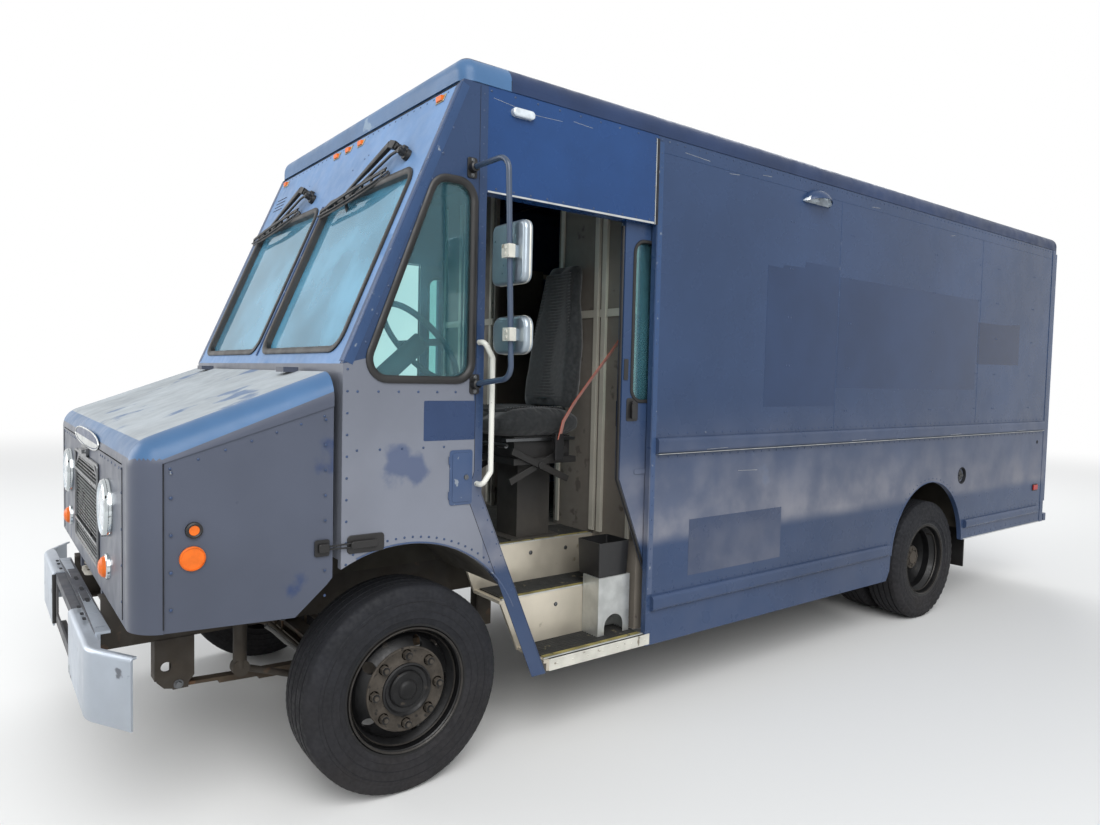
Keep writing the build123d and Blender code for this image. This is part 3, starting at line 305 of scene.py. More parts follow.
@dataclass(frozen=True)
class Surface:
    """What covers a piece: a name, the slot that it stands for and a material."""

    name: str
    slot: str

    def material(self) -> bpy.types.Material:
        """The surface's material, made once.

        Returns:
            The Blender material.
        """
        if self.name not in MADE:
            MADE[self.name] = self._build()
        return MADE[self.name]

    def _build(self) -> bpy.types.Material:
        """Make the material, in each kind of surface's own way."""
        raise NotImplementedError


@dataclass(frozen=True)
class Finish(Surface):
    """A solid surface: its colour, gloss, grain, how much it has faded and worn, and a dusty film lighter
    towards the bottom that on the body paint is also a painted reflection of the pale ground.
    """

    colour: Colour
    rough: float = 0.5
    metal: float = 0.0
    coat: float = 0.0
    spec: float = 0.5
    fade: float = 0.12
    fade_scale: float = 2.2
    worn: Colour | None = None
    wear: float = 0.0
    wear_scale: float = 9.0
    dust: float = 0.0
    dust_and_reflection_top: float = 1.2
    dust_and_reflection_foot: float = -1.0
    dust_and_reflection_colour: Colour = srgb(150, 140, 124)
    grain: Grain = Grain.NONE
    grain_scale: float = 300.0
    grain_depth: float = 0.0004
    wave: float = 0.0
    sheen: float = 0.0

    def _build(self) -> bpy.types.Material:
        """Wire the shader.

        Returns:
            The new material.
        """
        made = bpy.data.materials.new(self.name)
        wires = Wiring(made)
        shader = wires.node("ShaderNodeBsdfPrincipled", {
            "Metallic": self.metal, "IOR": LACQUER_IOR, "Specular IOR Level": self.spec,
            "Coat Weight": self.coat, "Coat Roughness": COAT_ROUGH, "Sheen Weight": self.sheen})
        output = wires.node("ShaderNodeOutputMaterial")
        wires.join(shader.outputs["BSDF"], output.inputs["Surface"])
        coords = wires.node("ShaderNodeTexCoord").outputs["Object"]
        colour, rough = self._layers(wires, coords)
        wires.join(colour, shader.inputs["Base Color"])
        wires.join(rough, shader.inputs["Roughness"])
        self._relief(wires, coords, shader)
        return made

    def _layers(self, wires: Wiring, coords: Socket) -> tuple[Socket, Socket]:
        """Colour and roughness: faded patches, wear, then a dusty film lighter towards the bottom, which on
        the body paint is also a painted ground reflection.

        Args:
            wires: the tree.
            coords: the coordinates.

        Returns:
            The colour and roughness sockets.
        """
        patches = wires.noise(coords, self.fade_scale, 5)
        dark = tuple(part * (1 - self.fade) for part in self.colour)
        light = tuple(min(1, part * (1 + self.fade)) for part in self.colour)
        colour = wires.mix(wires.remap(patches, 0.3, 0.7), dark, light)
        rough = wires.remap(wires.noise(coords, self.fade_scale * 6, 6), 0.25, 0.75,
                            max(0.02, self.rough * 0.8), min(1, self.rough * 1.25))
        if self.worn:
            spots = wires.remap(
                wires.noise(coords, self.wear_scale, 8), 0.72 - 0.3 * self.wear, 0.78 - 0.3 * self.wear)
            colour = wires.mix(spots, colour, self.worn)
            rough = wires.math("MAXIMUM", rough, wires.math("MULTIPLY", spots, WORN_ROUGH))
        # Dusty film, lighter towards the bottom; on the body paint it also stands in for a painted
        # reflection of the pale ground.
        if self.dust:
            split = wires.node("ShaderNodeSeparateXYZ")
            wires.join(coords, split.inputs["Vector"])
            height = split.outputs["Z"]
            foot = wires.remap(height, self.dust_and_reflection_foot, self.dust_and_reflection_foot + 0.08, 0.06, 1)
            low = wires.math("MULTIPLY", wires.remap(height, 0.1, self.dust_and_reflection_top, 1, 0), foot)
            film = wires.remap(wires.noise(coords, 5, 7), 0.3, 0.75, 0.42, 1)
            factor = wires.math("MULTIPLY", wires.math("MULTIPLY", low, film), self.dust)
            colour = wires.mix(factor, colour, self.dust_and_reflection_colour)
            rough = wires.math("ADD", rough, wires.math("MULTIPLY", factor, DUST_ROUGH))
        return colour, rough

    def _relief(self, wires: Wiring, coords: Socket, shader: bpy.types.Node) -> None:
        """Fine grain and the slow wave of hand-worked panels, as bump.

        Args:
            wires: the tree.
            coords: the coordinates.
            shader: the shader to feed.
        """
        normal = None
        if self.wave:
            normal = wires.bump(wires.noise(coords, 1.6, 1), self.wave, 0.6).outputs["Normal"]
        if self.grain is not Grain.NONE:
            bump = wires.bump(self._grain(wires, coords), self.grain_depth, 0.8)
            if normal:
                wires.join(normal, bump.inputs["Normal"])
            normal = bump.outputs["Normal"]
        if normal:
            wires.join(normal, shader.inputs["Normal"])

    def _grain(self, wires: Wiring, coords: Socket) -> Socket:
        """Height of the fine grain.

        Args:
            wires: the tree.
            coords: the coordinates.

        Returns:
            The height socket.
        """
        if self.grain is Grain.BRUSHED:
            return wires.noise(coords, self.grain_scale, 3, (0.04, 0.04, 1))
        if self.grain is Grain.LEATHERY:
            cells = wires.node("ShaderNodeTexVoronoi", {"Scale": self.grain_scale})
            wires.join(coords, cells.inputs["Vector"])
            return cells.outputs["Distance"]
        if self.grain is Grain.WEAVE:
            parts = []
            for axis in ((1, 0.5, 0), (0, 0.5, 1)):
                wave = wires.node("ShaderNodeTexWave", {"Scale": self.grain_scale, "Distortion": 1.2})
                mapping = wires.node("ShaderNodeMapping", {"Scale": axis})
                wires.join(coords, mapping.inputs["Vector"])
                wires.join(mapping.outputs["Vector"], wave.inputs["Vector"])
                parts.append(wave.outputs["Fac"])
            return wires.math("MULTIPLY", parts[0], parts[1])
        return wires.noise(coords, self.grain_scale, 3)


# Finishes
BODY = srgb(42, 60, 90)
# Pale grey of the body paints' dusty film, which is also a painted reflection of the pale ground on the
# lower panels.
GROUND_REFLECTION_AND_DUST = srgb(132, 132, 138)
# Body paint: its strong dusty film below about 1.6 m is dirt and painted ground reflection together.
PAINT = Finish(
    "body_paint", "body_paint", BODY, 0.26, spec=0.3, fade=0.12, fade_scale=1.2, dust=1.9, dust_and_reflection_top=1.62,
    dust_and_reflection_foot=0.84, wave=0.0012, worn=srgb(60, 78, 106), wear=0.12, wear_scale=3, dust_and_reflection_colour=GROUND_REFLECTION_AND_DUST)
# Deeper blue of the panels over the doorways: a painted sky reflection.
HEADER_SKY_REFLECTION = Finish("header_painted_sky_reflection", "body_paint", srgb(28, 58, 102), 0.24, spec=0.3, fade=0.12, wave=0.001)
HOOD_SIDE = Finish("body_paint_hood", "body_paint", srgb(70, 75, 88), 0.34, spec=0.3, fade=0.12,
                   fade_scale=1.4, wave=0.001, worn=srgb(38, 54, 88), wear=0.34, wear_scale=2.4)
PAINT_EDGE = Finish(
    "body_paint_edges", "body_paint", srgb(44, 66, 100), 0.32, spec=0.3, fade=0.10, dust=0.45, dust_and_reflection_top=1.9,
    worn=srgb(120, 128, 138), wear=0.22, wear_scale=30, dust_and_reflection_colour=GROUND_REFLECTION_AND_DUST)
# Lighter blue of the hood's up-turned crown faces and the roof cap's lip: a painted sky reflection.
SHOULDER_SKY_REFLECTION = Finish("shoulder_painted_sky_reflection", "body_paint", srgb(66, 98, 134), 0.34, spec=0.3, fade=0.12, wave=0.001,
                  worn=srgb(120, 140, 160), wear=0.12, wear_scale=8)
BROW = Finish("body_paint_pale", "body_paint", srgb(96, 128, 168), 0.42, spec=0.3, fade=0.12, fade_scale=3,
              worn=srgb(84, 118, 160), wear=0.3, wear_scale=4)
COWL = Finish(
    "body_paint_cowl", "body_paint", srgb(106, 110, 120), 0.36, spec=0.3, fade=0.14, fade_scale=1.6,
    dust=0.3, dust_and_reflection_top=1.8, worn=srgb(74, 84, 108), wear=0.22, wear_scale=2.6, dust_and_reflection_colour=GROUND_REFLECTION_AND_DUST)
HOOD_TOP = Finish("hood_chalk", "body_paint", srgb(150, 156, 160), 0.66, fade=0.16, fade_scale=3,
                  worn=srgb(92, 110, 136), wear=0.46, wear_scale=3.5)
PATCH = Finish("repainted_panel", "body_paint", srgb(34, 52, 82), 0.2, spec=0.3, fade=0.10, dust=0.6,
               dust_and_reflection_top=1.5, dust_and_reflection_colour=GROUND_REFLECTION_AND_DUST)
PATCH_DARK = Finish("repainted_panel_dark", "body_paint", srgb(26, 42, 70), 0.2, spec=0.3, fade=0.10)
REPAINT = Finish("touch_up_paint", "body_paint", srgb(40, 56, 86), 0.3, spec=0.3, fade=0.14)
RIVET = Finish("rivet_heads", "body_paint", srgb(40, 58, 88), 0.36, fade=0.2, fade_scale=40,
               worn=srgb(120, 124, 128), wear=0.2, wear_scale=50)
ROOF = Finish("roof_paint", "roof_paint", srgb(30, 46, 76), 0.42, spec=0.3, fade=0.2)
BLACK_STEEL = Finish(
    "chassis_black", "chassis_black", srgb(30, 29, 28), 0.62, fade=0.25, dust=0.6, dust_and_reflection_top=1.4,
    grain=Grain.SPECKLE, grain_scale=160, grain_depth=0.0006, worn=srgb(78, 58, 44), wear=0.25,
    dust_and_reflection_colour=srgb(104, 94, 82))
SPRING = Finish(
    "spring_steel", "spring_steel", srgb(42, 37, 33), 0.7, fade=0.3, dust=0.7, dust_and_reflection_top=1.4,
    worn=srgb(104, 70, 44), wear=0.4, grain=Grain.SPECKLE, grain_scale=200, dust_and_reflection_colour=srgb(104, 90, 74))
ENGINE = Finish("engine_grey", "engine_grey", srgb(52, 52, 51), 0.7, fade=0.3, dust=0.5, dust_and_reflection_top=1.6)
TANK = Finish(
    "tank_aluminium", "tank_aluminium", srgb(150, 150, 148), 0.42, metal=0.9, dust=0.7, dust_and_reflection_top=1.4)
EXHAUST = Finish("exhaust_steel", "exhaust_steel", srgb(120, 108, 96), 0.5, metal=0.8, fade=0.35, dust=0.5,
                 worn=srgb(110, 74, 48), wear=0.4)
SILVER = Finish("bumper_steel", "bumper_steel", srgb(164, 172, 182), 0.36, metal=0.6, fade=0.14, dust=0.25,
                dust_and_reflection_top=0.9, worn=srgb(98, 102, 110), wear=0.32, grain=Grain.BRUSHED, grain_scale=240,
                grain_depth=0.0003)
BUMPER_BLUE = Finish("bumper_paint", "body_paint", srgb(38, 46, 60), 0.45, fade=0.16, dust=0.4, dust_and_reflection_top=1.2,
                     worn=srgb(104, 110, 118), wear=0.3, wear_scale=14)
HOOK = Finish("hook_paint", "chassis_black", srgb(176, 172, 162), 0.6, fade=0.2, worn=srgb(92, 78, 64),
              wear=0.35, wear_scale=20)
RUBBER = Finish("rubber_black", "rubber_black", srgb(26, 25, 25), 0.45, fade=0.25)
SHEET = Finish("inner_aluminium", "inner_aluminium", srgb(198, 190, 174), 0.36, metal=0.6, fade=0.18,
               worn=srgb(150, 142, 124), wear=0.24, wear_scale=10, grain=Grain.BRUSHED, grain_scale=180,
               grain_depth=0.0003)
INNER = Finish("inner_board", "inner_aluminium", srgb(112, 106, 98), 0.6, metal=0.2, fade=0.2,
               worn=srgb(84, 78, 72), wear=0.3, wear_scale=10)
FLOOR = Finish(
    "floor_grey", "floor_grey", srgb(84, 82, 78), 0.6, metal=0.3, fade=0.25, dust=0.4, dust_and_reflection_top=1.5)
MAT = Finish("step_mat", "liner_black", srgb(34, 34, 32), 0.8, fade=0.2, worn=srgb(84, 78, 62), wear=0.3,
             wear_scale=22, grain=Grain.SPECKLE, grain_scale=900, grain_depth=0.0008)
WORN_MAT = Finish(
    "step_mat_worn", "liner_black", srgb(132, 122, 72), 0.8, fade=0.3, fade_scale=12, worn=srgb(70, 66, 50),
    wear=0.4, wear_scale=26, grain=Grain.SPECKLE, grain_scale=700, grain_depth=0.0008)
LINER = Finish("liner_black", "liner_black", srgb(28, 28, 27), 0.75, fade=0.25, dust=0.5, dust_and_reflection_top=1.4)
SEAT_STEEL = Finish("seat_black", "seat_black", srgb(24, 24, 25), 0.5, fade=0.2, dust=0.3, dust_and_reflection_top=1.5)
CLOTH = Finish("seat_cloth", "seat_fabric", srgb(9, 13, 15), 0.92, fade=0.18, fade_scale=8, sheen=0.2,
               grain=Grain.WEAVE, grain_scale=130, grain_depth=0.0009)
CLOTH_SIDE = Finish("seat_cloth_side", "seat_fabric", srgb(19, 22, 24), 0.9, fade=0.18, fade_scale=9,
                    sheen=0.25, grain=Grain.WEAVE, grain_scale=170, grain_depth=0.0006)
DASH = Finish("dash_plastic", "dash_plastic", srgb(40, 42, 44), 0.6, fade=0.1, grain=Grain.LEATHERY,
              grain_scale=420, grain_depth=0.0004)
TUBE = Finish("tube_steel", "tube_steel", srgb(50, 64, 84), 0.35, coat=0.2, fade=0.12)
CHROME = Finish("mirror_chrome", "mirror_chrome", srgb(182, 188, 190), 0.14, metal=1.0, fade=0.08,
                worn=srgb(120, 122, 120), wear=0.2, wear_scale=30)
PALE_RIM = Finish("pale_bracket", "mirror_chrome", srgb(196, 194, 184), 0.4, metal=0.3, fade=0.12,
                  fade_scale=12, worn=srgb(128, 120, 106), wear=0.28, wear_scale=26)
BRASS = Finish("marker_base", "grille_bright", srgb(150, 140, 116), 0.4, metal=0.6, fade=0.2)
HANDLE = Finish("handle_white", "handle_white", srgb(200, 200, 192), 0.4, coat=0.2, fade=0.08,
                worn=srgb(120, 116, 108), wear=0.2, wear_scale=40)
WIPER = Finish("wiper_black", "wiper_black", srgb(20, 20, 21), 0.45, fade=0.2)
AMBER = Finish("lamp_amber", "lamp_amber", srgb(208, 98, 22), 0.4, spec=0.35, fade=0.12, fade_scale=30)
RED = Finish("lamp_red", "lamp_amber", srgb(160, 20, 18), 0.3, fade=0.12, fade_scale=30)
CLEAR_LAMP = Finish(
    "lamp_clear", "lamp_clear", srgb(196, 204, 210), 0.1, metal=0.35, coat=0.8, fade=0.14, fade_scale=40)
REFLECTOR = Finish(
    "lamp_reflector", "lamp_clear", srgb(196, 204, 206), 0.06, metal=1.0, fade=0.08, fade_scale=60)
BRIGHT = Finish("grille_bright", "grille_bright", srgb(102, 104, 106), 0.3, metal=0.95, fade=0.16)
TYRE = Finish(
    "tyre_rubber", "tyre_black", srgb(28, 29, 33), 0.74, spec=0.3, fade=0.16, fade_scale=9, dust=0.1,
    dust_and_reflection_top=0.7, grain=Grain.SPECKLE, grain_scale=700, grain_depth=0.0004, dust_and_reflection_colour=srgb(92, 82, 72))
MIRROR_SHELL = Finish(
    "mirror_shell", "mirror_chrome", srgb(146, 156, 164), 0.34, metal=0.9, fade=0.16, fade_scale=5)
TYRE_SIDE = Finish("tyre_rings", "tyre_black", srgb(26, 26, 29), 0.7, spec=0.3, fade=0.2, fade_scale=20)
WHEEL = Finish("wheel_paint", "wheel_grey", srgb(17, 17, 18), 0.42, spec=0.4, fade=0.25, fade_scale=10,
               worn=srgb(44, 40, 36), wear=0.2, wear_scale=26)
RIM_EDGE = Finish("rim_edge", "wheel_grey", srgb(46, 43, 40), 0.45, metal=0.3, fade=0.25, fade_scale=30,
                  worn=srgb(36, 34, 32), wear=0.35, wear_scale=40)
HUB_DUST = Finish("hub_dust", "wheel_grey", srgb(62, 57, 51), 0.72, spec=0.3, fade=0.3, fade_scale=20,
                  worn=srgb(34, 32, 30), wear=0.4, wear_scale=40)
HUB_DARK = Finish("hub_dark", "wheel_grey", srgb(16, 16, 17), 0.5, spec=0.3, fade=0.3, fade_scale=26,
                  worn=srgb(52, 46, 40), wear=0.3, wear_scale=34)
BELT = Finish("belt_orange", "seat_fabric", srgb(166, 74, 44), 0.8, fade=0.12, sheen=0.3, grain=Grain.WEAVE,
              grain_scale=320, grain_depth=0.0003)
BIN = Finish("bin_black", "dash_plastic", srgb(24, 24, 25), 0.42, fade=0.15, coat=0.15)
HOSE = Finish("hose_grey", "rubber_black", srgb(104, 104, 102), 0.6, fade=0.15)
# Near black of the seams, and painted shade in the gap under the roof lip, the vents, the bumper's slots and
# the vent hole.
SEAM_AND_SHADE_DARK = Finish("seam_and_shade_dark", "rubber_black", srgb(18, 20, 26), 0.8, fade=0.1)
BARE_EDGE = Finish(
    "bare_edge", "inner_aluminium", srgb(190, 192, 190), 0.34, metal=0.8, fade=0.14, fade_scale=12)
CEILING = Finish("ceiling_board", "inner_aluminium", srgb(176, 172, 160), 0.6, metal=0.2, fade=0.15)


@dataclass(frozen=True)
class Glazing(Surface):
    """A thin tinted pane: clear enough to show the cab, with a reflection that grows at a slant and a pale
    film, hazy on the side panes and a painted sky reflection on the windscreens.
    """

    tint: Colour
    body: Colour
    haze_and_sky_reflection: float

    def _build(self) -> bpy.types.Material:
        """Mix a tinted clear part, a pale film, hazy and on the windscreens a painted sky reflection, and a
        mirror by Fresnel.

        Returns:
            The new material.
        """
        made = bpy.data.materials.new(self.name)
        wires = Wiring(made)
        output = wires.node("ShaderNodeOutputMaterial")
        clear = wires.node("ShaderNodeBsdfTransparent", {"Color": (*self.tint, 1)})
        film = wires.node("ShaderNodeBsdfPrincipled", {"Base Color": (*self.body, 1), "Roughness": 0.5})
        mirror = wires.node("ShaderNodeBsdfGlossy", {"Roughness": 0.03, "Color": (0.86, 0.95, 1.0, 1)})
        coords = wires.node("ShaderNodeTexCoord").outputs["Object"]
        haze_and_sky_reflection = wires.remap(wires.noise(coords, 2.4, 6), 0.35, 0.75, self.haze_and_sky_reflection * 0.5, self.haze_and_sky_reflection)
        hazy_and_sky_tinted = wires.blend(haze_and_sky_reflection, clear.outputs["BSDF"], film.outputs["BSDF"])
        slant = wires.node("ShaderNodeFresnel", {"IOR": 1.42})
        mixed = wires.blend(slant.outputs["Fac"], hazy_and_sky_tinted, mirror.outputs["BSDF"])
        wires.join(mixed, output.inputs["Surface"])
        return made


GLASS = Glazing("window_glass", "glass", (0.70, 0.90, 0.88), srgb(100, 158, 176), 0.18)
# Windscreens: the pale sky-blue film over much of the pane is a painted sky reflection.
SCREEN = Glazing("screen_glass", "glass", (0.52, 0.84, 0.92), srgb(92, 178, 216), 0.60)


class Shape:
    """Gathers many small forms into one mesh."""

    def __init__(self) -> None:
        """Start with nothing."""
        self.verts: list[Vector] = []
        self.faces: list[tuple[int, ...]] = []

    def add(self, verts: Iterable[Vector], faces: Iterable[Sequence[int]]) -> "Shape":
        """Add vertices and the faces between them.

        Args:
            verts: new vertices.
            faces: index tuples that count from the first new vertex.

        Returns:
            This shape.
        """
        start = len(self.verts)
        self.verts.extend(Vector(v) for v in verts)
        self.faces.extend(tuple(start + i for i in face) for face in faces)
        return self

    def box(self, low: Sequence[float], high: Sequence[float]) -> "Shape":
        """A box between two corners."""
        x0, y0, z0 = (min(a, b) for a, b in zip(low, high))
        x1, y1, z1 = (max(a, b) for a, b in zip(low, high))
        corners = [(x, y, z) for x in (x0, x1) for y in (y0, y1) for z in (z0, z1)]
        return self.add(
            corners, ((0, 1, 3, 2), (4, 6, 7, 5), (0, 4, 5, 1), (2, 3, 7, 6), (0, 2, 6, 4), (1, 5, 7, 3)))

    def prism(self, outline: Sequence[Flat], place: Place, start: float,
              end: float) -> "Shape":
        """An outline pushed through from start to end.

        Args:
            outline: flat points in order.
            place: turns (first, second, depth) into a point.
            start: depth of the first face.
            end: depth of the last face.

        Returns:
            This shape.
        """
        count = len(outline)
        verts = [place(a, b, depth) for depth in (start, end) for a, b in outline]
        faces: list[tuple[int, ...]] = [tuple(reversed(range(count))), tuple(range(count, 2 * count))]
        faces += [(i, (i + 1) % count, count + (i + 1) % count, count + i) for i in range(count)]
        return self.add(verts, faces)

    def loft(self, rings: Sequence[Sequence[Vector]], closed: bool = False, caps: bool = True) -> "Shape":
        """Skin a row of rings that have as many points each.

        Args:
            rings: the rings in order.
            closed: whether the last ring joins the first.
            caps: whether the ends are filled.

        Returns:
            This shape.
        """
        count = len(rings[0])
        verts = [point for ring in rings for point in ring]
        faces: list[tuple[int, ...]] = []
        for row in range(len(rings) - (0 if closed else 1)):
            near, far = row * count, (row + 1) % len(rings) * count
            faces += [
                (near + i, near + (i + 1) % count, far + (i + 1) % count, far + i) for i in range(count)]
        if caps and not closed:
            faces += [tuple(reversed(range(count))), tuple(range(len(verts) - count, len(verts)))]
        return self.add(verts, faces)

    def tube(self, path: Sequence[Vector], radius: float | Sequence[float], sides: int = 12,
             closed: bool = False, flat: float = 1.0) -> "Shape":
        """A round or flattened tube along a path.

        Args:
            path: points along the middle.
            radius: one radius, or one for each point.
            sides: points round the tube.
            closed: whether the path is a loop.
            flat: the section's second half-width as a share of the first.

        Returns:
            This shape.
        """
        points = [Vector(p) for p in path]
        radii = [radius] * len(points) if isinstance(radius, (int, float)) else list(radius)
        rings, side = [], None
        for i, point in enumerate(points):
            before = points[i - 1] if i or closed else point
            after = points[(i + 1) % len(points)] if i + 1 < len(points) or closed else point
            along = (after - before).normalized()
            guide = side if side else (UPWARD if abs(along.z) < 0.9 else BACKWARD)
            side = (guide - along * guide.dot(along)).normalized()
            other = along.cross(side)
            rings.append([point + (side * math.cos(a) + other * math.sin(a) * flat) * radii[i]
                          for a in turns(sides)])
        return self.loft(rings, closed)

    def spin(self, profile: Sequence[Flat], centre: Vector, axis: Vector, steps: int = 40,
             closed: bool = True) -> "Shape":
        """Turn an (along, radius) profile round an axis.

        Args:
            profile: the section's points.
            centre: a point on the axis, where along is 0.
            axis: direction of the axis.
            steps: divisions of the circle.
            closed: whether the profile's last point joins its first.

        Returns:
            This shape.
        """
        along = axis.normalized()
        guide = UPWARD if abs(along.z) < 0.9 else BACKWARD
        up = (guide - along * guide.dot(along)).normalized()
        side = along.cross(up)
        count = len(profile)
        verts = []
        for angle in turns(steps):
            out = up * math.cos(angle) + side * math.sin(angle)
            verts += [centre + along * reach + out * radius for reach, radius in profile]
        faces = []
        last = count if closed else count - 1
        for step in range(steps):
            near, far = step * count, (step + 1) % steps * count
            faces += [
                (near + i, near + (i + 1) % count, far + (i + 1) % count, far + i) for i in range(last)]
        return self.add(verts, faces)

    def turned(self, profile: Sequence[Flat], centre: Vector, axis: Vector, steps: int = 40) -> "Shape":
        """Turn a profile whose two ends run straight in to the axis.

        Args:
            profile: the section's (along, radius) points.
            centre: a point on the axis, where along is 0.
            axis: direction of the axis.
            steps: divisions of the circle.

        Returns:
            This shape.
        """
        ends = (profile[0][0], CORE), (profile[-1][0], CORE)
        return self.spin([ends[0], *profile, ends[1]], centre, axis, steps)

    def bolt(self, spot: Vector, normal: Vector, radius: float = 0.011, height: float = 0.007) -> "Shape":
        """A six-sided bolt head on its washer.

        Args:
            spot: a point on the surface.
            normal: the surface's outward direction.
            radius: half the head's width across its corners.
            height: how far the head stands out.

        Returns:
            This shape.
        """
        self.turned([(-0.001, radius * 1.35), (height * 0.25, radius * 1.3)],
                  spot, normal, 18)
        return self.turned([(0, radius), (height * 0.85, radius), (height, radius * 0.85)],
                         spot, normal, 6)

    def beam(self, start: Vector, end: Vector, wide: float, deep: float, up: Vector) -> "Shape":
        """A bar with a rectangular section.

        Args:
            start: middle of the first end.
            end: middle of the last end.
            wide: width across the up direction.
            deep: depth along the up direction.
            up: roughly the depth's direction.

        Returns:
            This shape.
        """
        along = (end - start).normalized()
        rise = (up - along * up.dot(along)).normalized()
        across = along.cross(rise)
        corners = ((1, 1), (-1, 1), (-1, -1), (1, -1))
        rings = [[point + across * (a * wide / 2) + rise * (b * deep / 2) for a, b in corners]
                 for point in (start, end)]
        return self.loft(rings)

    def rivet(self, spot: Vector, normal: Vector, radius: float = 0.006, height: float = 0.0025) -> "Shape":
        """One domed rivet head.

        Args:
            spot: a point on the surface.
            normal: the surface's outward direction.
            radius: the head's radius.
            height: how far it stands out.

        Returns:
            This shape.
        """
        up = normal.normalized()
        guide = UPWARD if abs(up.z) < 0.9 else BACKWARD
        side = (guide - up * guide.dot(up)).normalized()
        other = up.cross(side)
        verts = []
        for share, rise in ((1.0, -0.1), (0.92, 0.45), (0.5, 0.9)):
            for a in turns(8):
                verts.append(
                    spot + (side * math.cos(a) + other * math.sin(a)) * radius * share + up * height * rise)
        verts.append(spot + up * height)
        faces = [(row + k, row + (k + 1) % 8, row + 8 + (k + 1) % 8, row + 8 + k) for row in (0, 8)
                 for k in range(8)]
        faces += [(16 + k, 16 + (k + 1) % 8, 24) for k in range(8)]
        return self.add(verts, faces)

    def rivets(self, start: Vector, end: Vector, pitch: float, normal: Vector,
               radius: float = 0.006) -> "Shape":
        """A row of rivets between two points.

        Args:
            start: the first rivet.
            end: the last rivet.
            pitch: about how far apart they are.
            normal: the surface's outward direction.
            radius: the heads' radius.

        Returns:
            This shape.
        """
        count = max(1, round((end - start).length / pitch))
        for i in range(count + 1):
            self.rivet(start.lerp(end, i / count), normal, radius)
        return self

    def flipped(self) -> "Shape":
        """The same shape on the van's other side."""
        other = Shape()
        other.verts = [Vector((-v.x, v.y, v.z)) for v in self.verts]
        other.faces = [tuple(reversed(face)) for face in self.faces]
        return other

    def both(self) -> "Shape":
        """This shape joined with its mirror image."""
        other = self.flipped()
        return self.add(other.verts, other.faces)

    def piece(self, name: str, finish: Surface, body: str = ROOT, bevel: float = 0.0, smooth: bool = True,
              segments: int = 2) -> bpy.types.Object:
        """Turn the shape into an object that rides on a body.

        Args:
            name: the object's name.
            finish: its surface.
            body: the CAD body that it moves with.
            bevel: width of a rounded edge, or 0.
            smooth: whether faces are smooth shaded.
            segments: steps in the rounded edge.

        Returns:
            The object.
        """
        mesh = bpy.data.meshes.new(name)
        mesh.from_pydata([tuple(v) for v in self.verts], [], self.faces)
        mesh.validate()
        mesh.update()
        made = bpy.data.objects.new(name, mesh)
        bpy.context.scene.collection.objects.link(made)
        mesh.materials.append(finish.material())
        if smooth:
            mesh.shade_smooth()
            mesh.set_sharp_from_angle(angle=math.radians(38))
        if bevel:
            rounding = made.modifiers.new("rounding", "BEVEL")
            rounding.width = bevel
            rounding.segments = segments
            rounding.limit_method = "ANGLE"
            rounding.harden_normals = True
        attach(made, body)
        log.info("piece %s: %d faces", name, len(self.faces))
        return made


def rounded_outline(low: Flat, high: Flat, radius: float, steps: int = 5) -> list[Flat]:
    """A rounded rectangle's points.

    Args:
        low: the lower corner.
        high: the upper corner.
        radius: the corners' radius.
        steps: divisions of each corner.

    Returns:
        The points in order.
    """
    points = []
    corners = ((high[0] - radius, high[1] - radius, 0), (low[0] + radius, high[1] - radius, 90),
               (low[0] + radius, low[1] + radius, 180), (high[0] - radius, low[1] + radius, 270))
    for a, b, start in corners:
        for step in range(steps + 1):
            angle = math.radians(start + 90 * step / steps)
            points.append((a + radius * math.cos(angle), b + radius * math.sin(angle)))
    return points


def arc(centre: Flat, radius: float, start: float, end: float, steps: int = 16) -> list[Flat]:
    """Points on an arc, angles in degrees."""
    angles = [math.radians(start + (end - start) * i / steps) for i in range(steps + 1)]
    return [(centre[0] + radius * math.cos(a), centre[1] + radius * math.sin(a)) for a in angles]


def on_side(side: Side) -> Place:
    """A place function for outlines drawn as (y from the axle, z) and pushed out along X.

    Args:
        side: which side of the van.

    Returns:
        The function.
    """
    return lambda y, z, depth: van(side.value * depth, y, z)


ON_LEFT = on_side(Side.LEFT)
Test = Callable[[Vector, Vector], bool]


def dress(names: Iterable[str], finish: Surface, rules: Sequence[tuple[Surface, Test]] = ()) -> None:
    """Give CAD nodes a finish, and other finishes to the faces that a rule picks.

    Args:
        names: the nodes.
        finish: their main surface.
        rules: (surface, test) pairs. A test takes a face's centre and its normal, with y measured from
            the front axle.
    """
    for name in names:
        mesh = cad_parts[name].data
        mesh.materials.clear()
        for surface in (finish, *(surface for surface, _ in rules)):
            mesh.materials.append(surface.material())
        for face in mesh.polygons:
            centre = face.center - Vector((0, AXLE_Y, 0))
            hits = (i + 1 for i, (_, test) in enumerate(rules) if test(centre, face.normal))
            face.material_index = next(hits, 0)


def flat_path(points: Sequence[Flat], place: Place, depth: float) -> list[Vector]:
    """Flat points placed on a surface.

    Args:
        points: pairs in the surface's own directions.
        place: turns (first, second, depth) into a point.
        depth: where the surface lies.

    Returns:
        The points.
    """
    return [place(a, b, depth) for a, b in points]


SCREEN_FOOT = (-0.306, 1.70)
SCREEN_RISE = Vector((0, 0.3938, 0.9192))
SCREEN_OUT = Vector((0, -0.9192, 0.3938))


def on_screen(x: float, z: float, out: float) -> Vector:
    """A point on the leaning windscreen panel.

    Args:
        x: distance to the driver's side.
        z: height above the ground.
        out: distance in front of the panel.

    Returns:
        The point.
    """
    foot = van(x, SCREEN_FOOT[0], SCREEN_FOOT[1])
    return foot + SCREEN_RISE * ((z - SCREEN_FOOT[1]) / SCREEN_RISE.z) + SCREEN_OUT * out


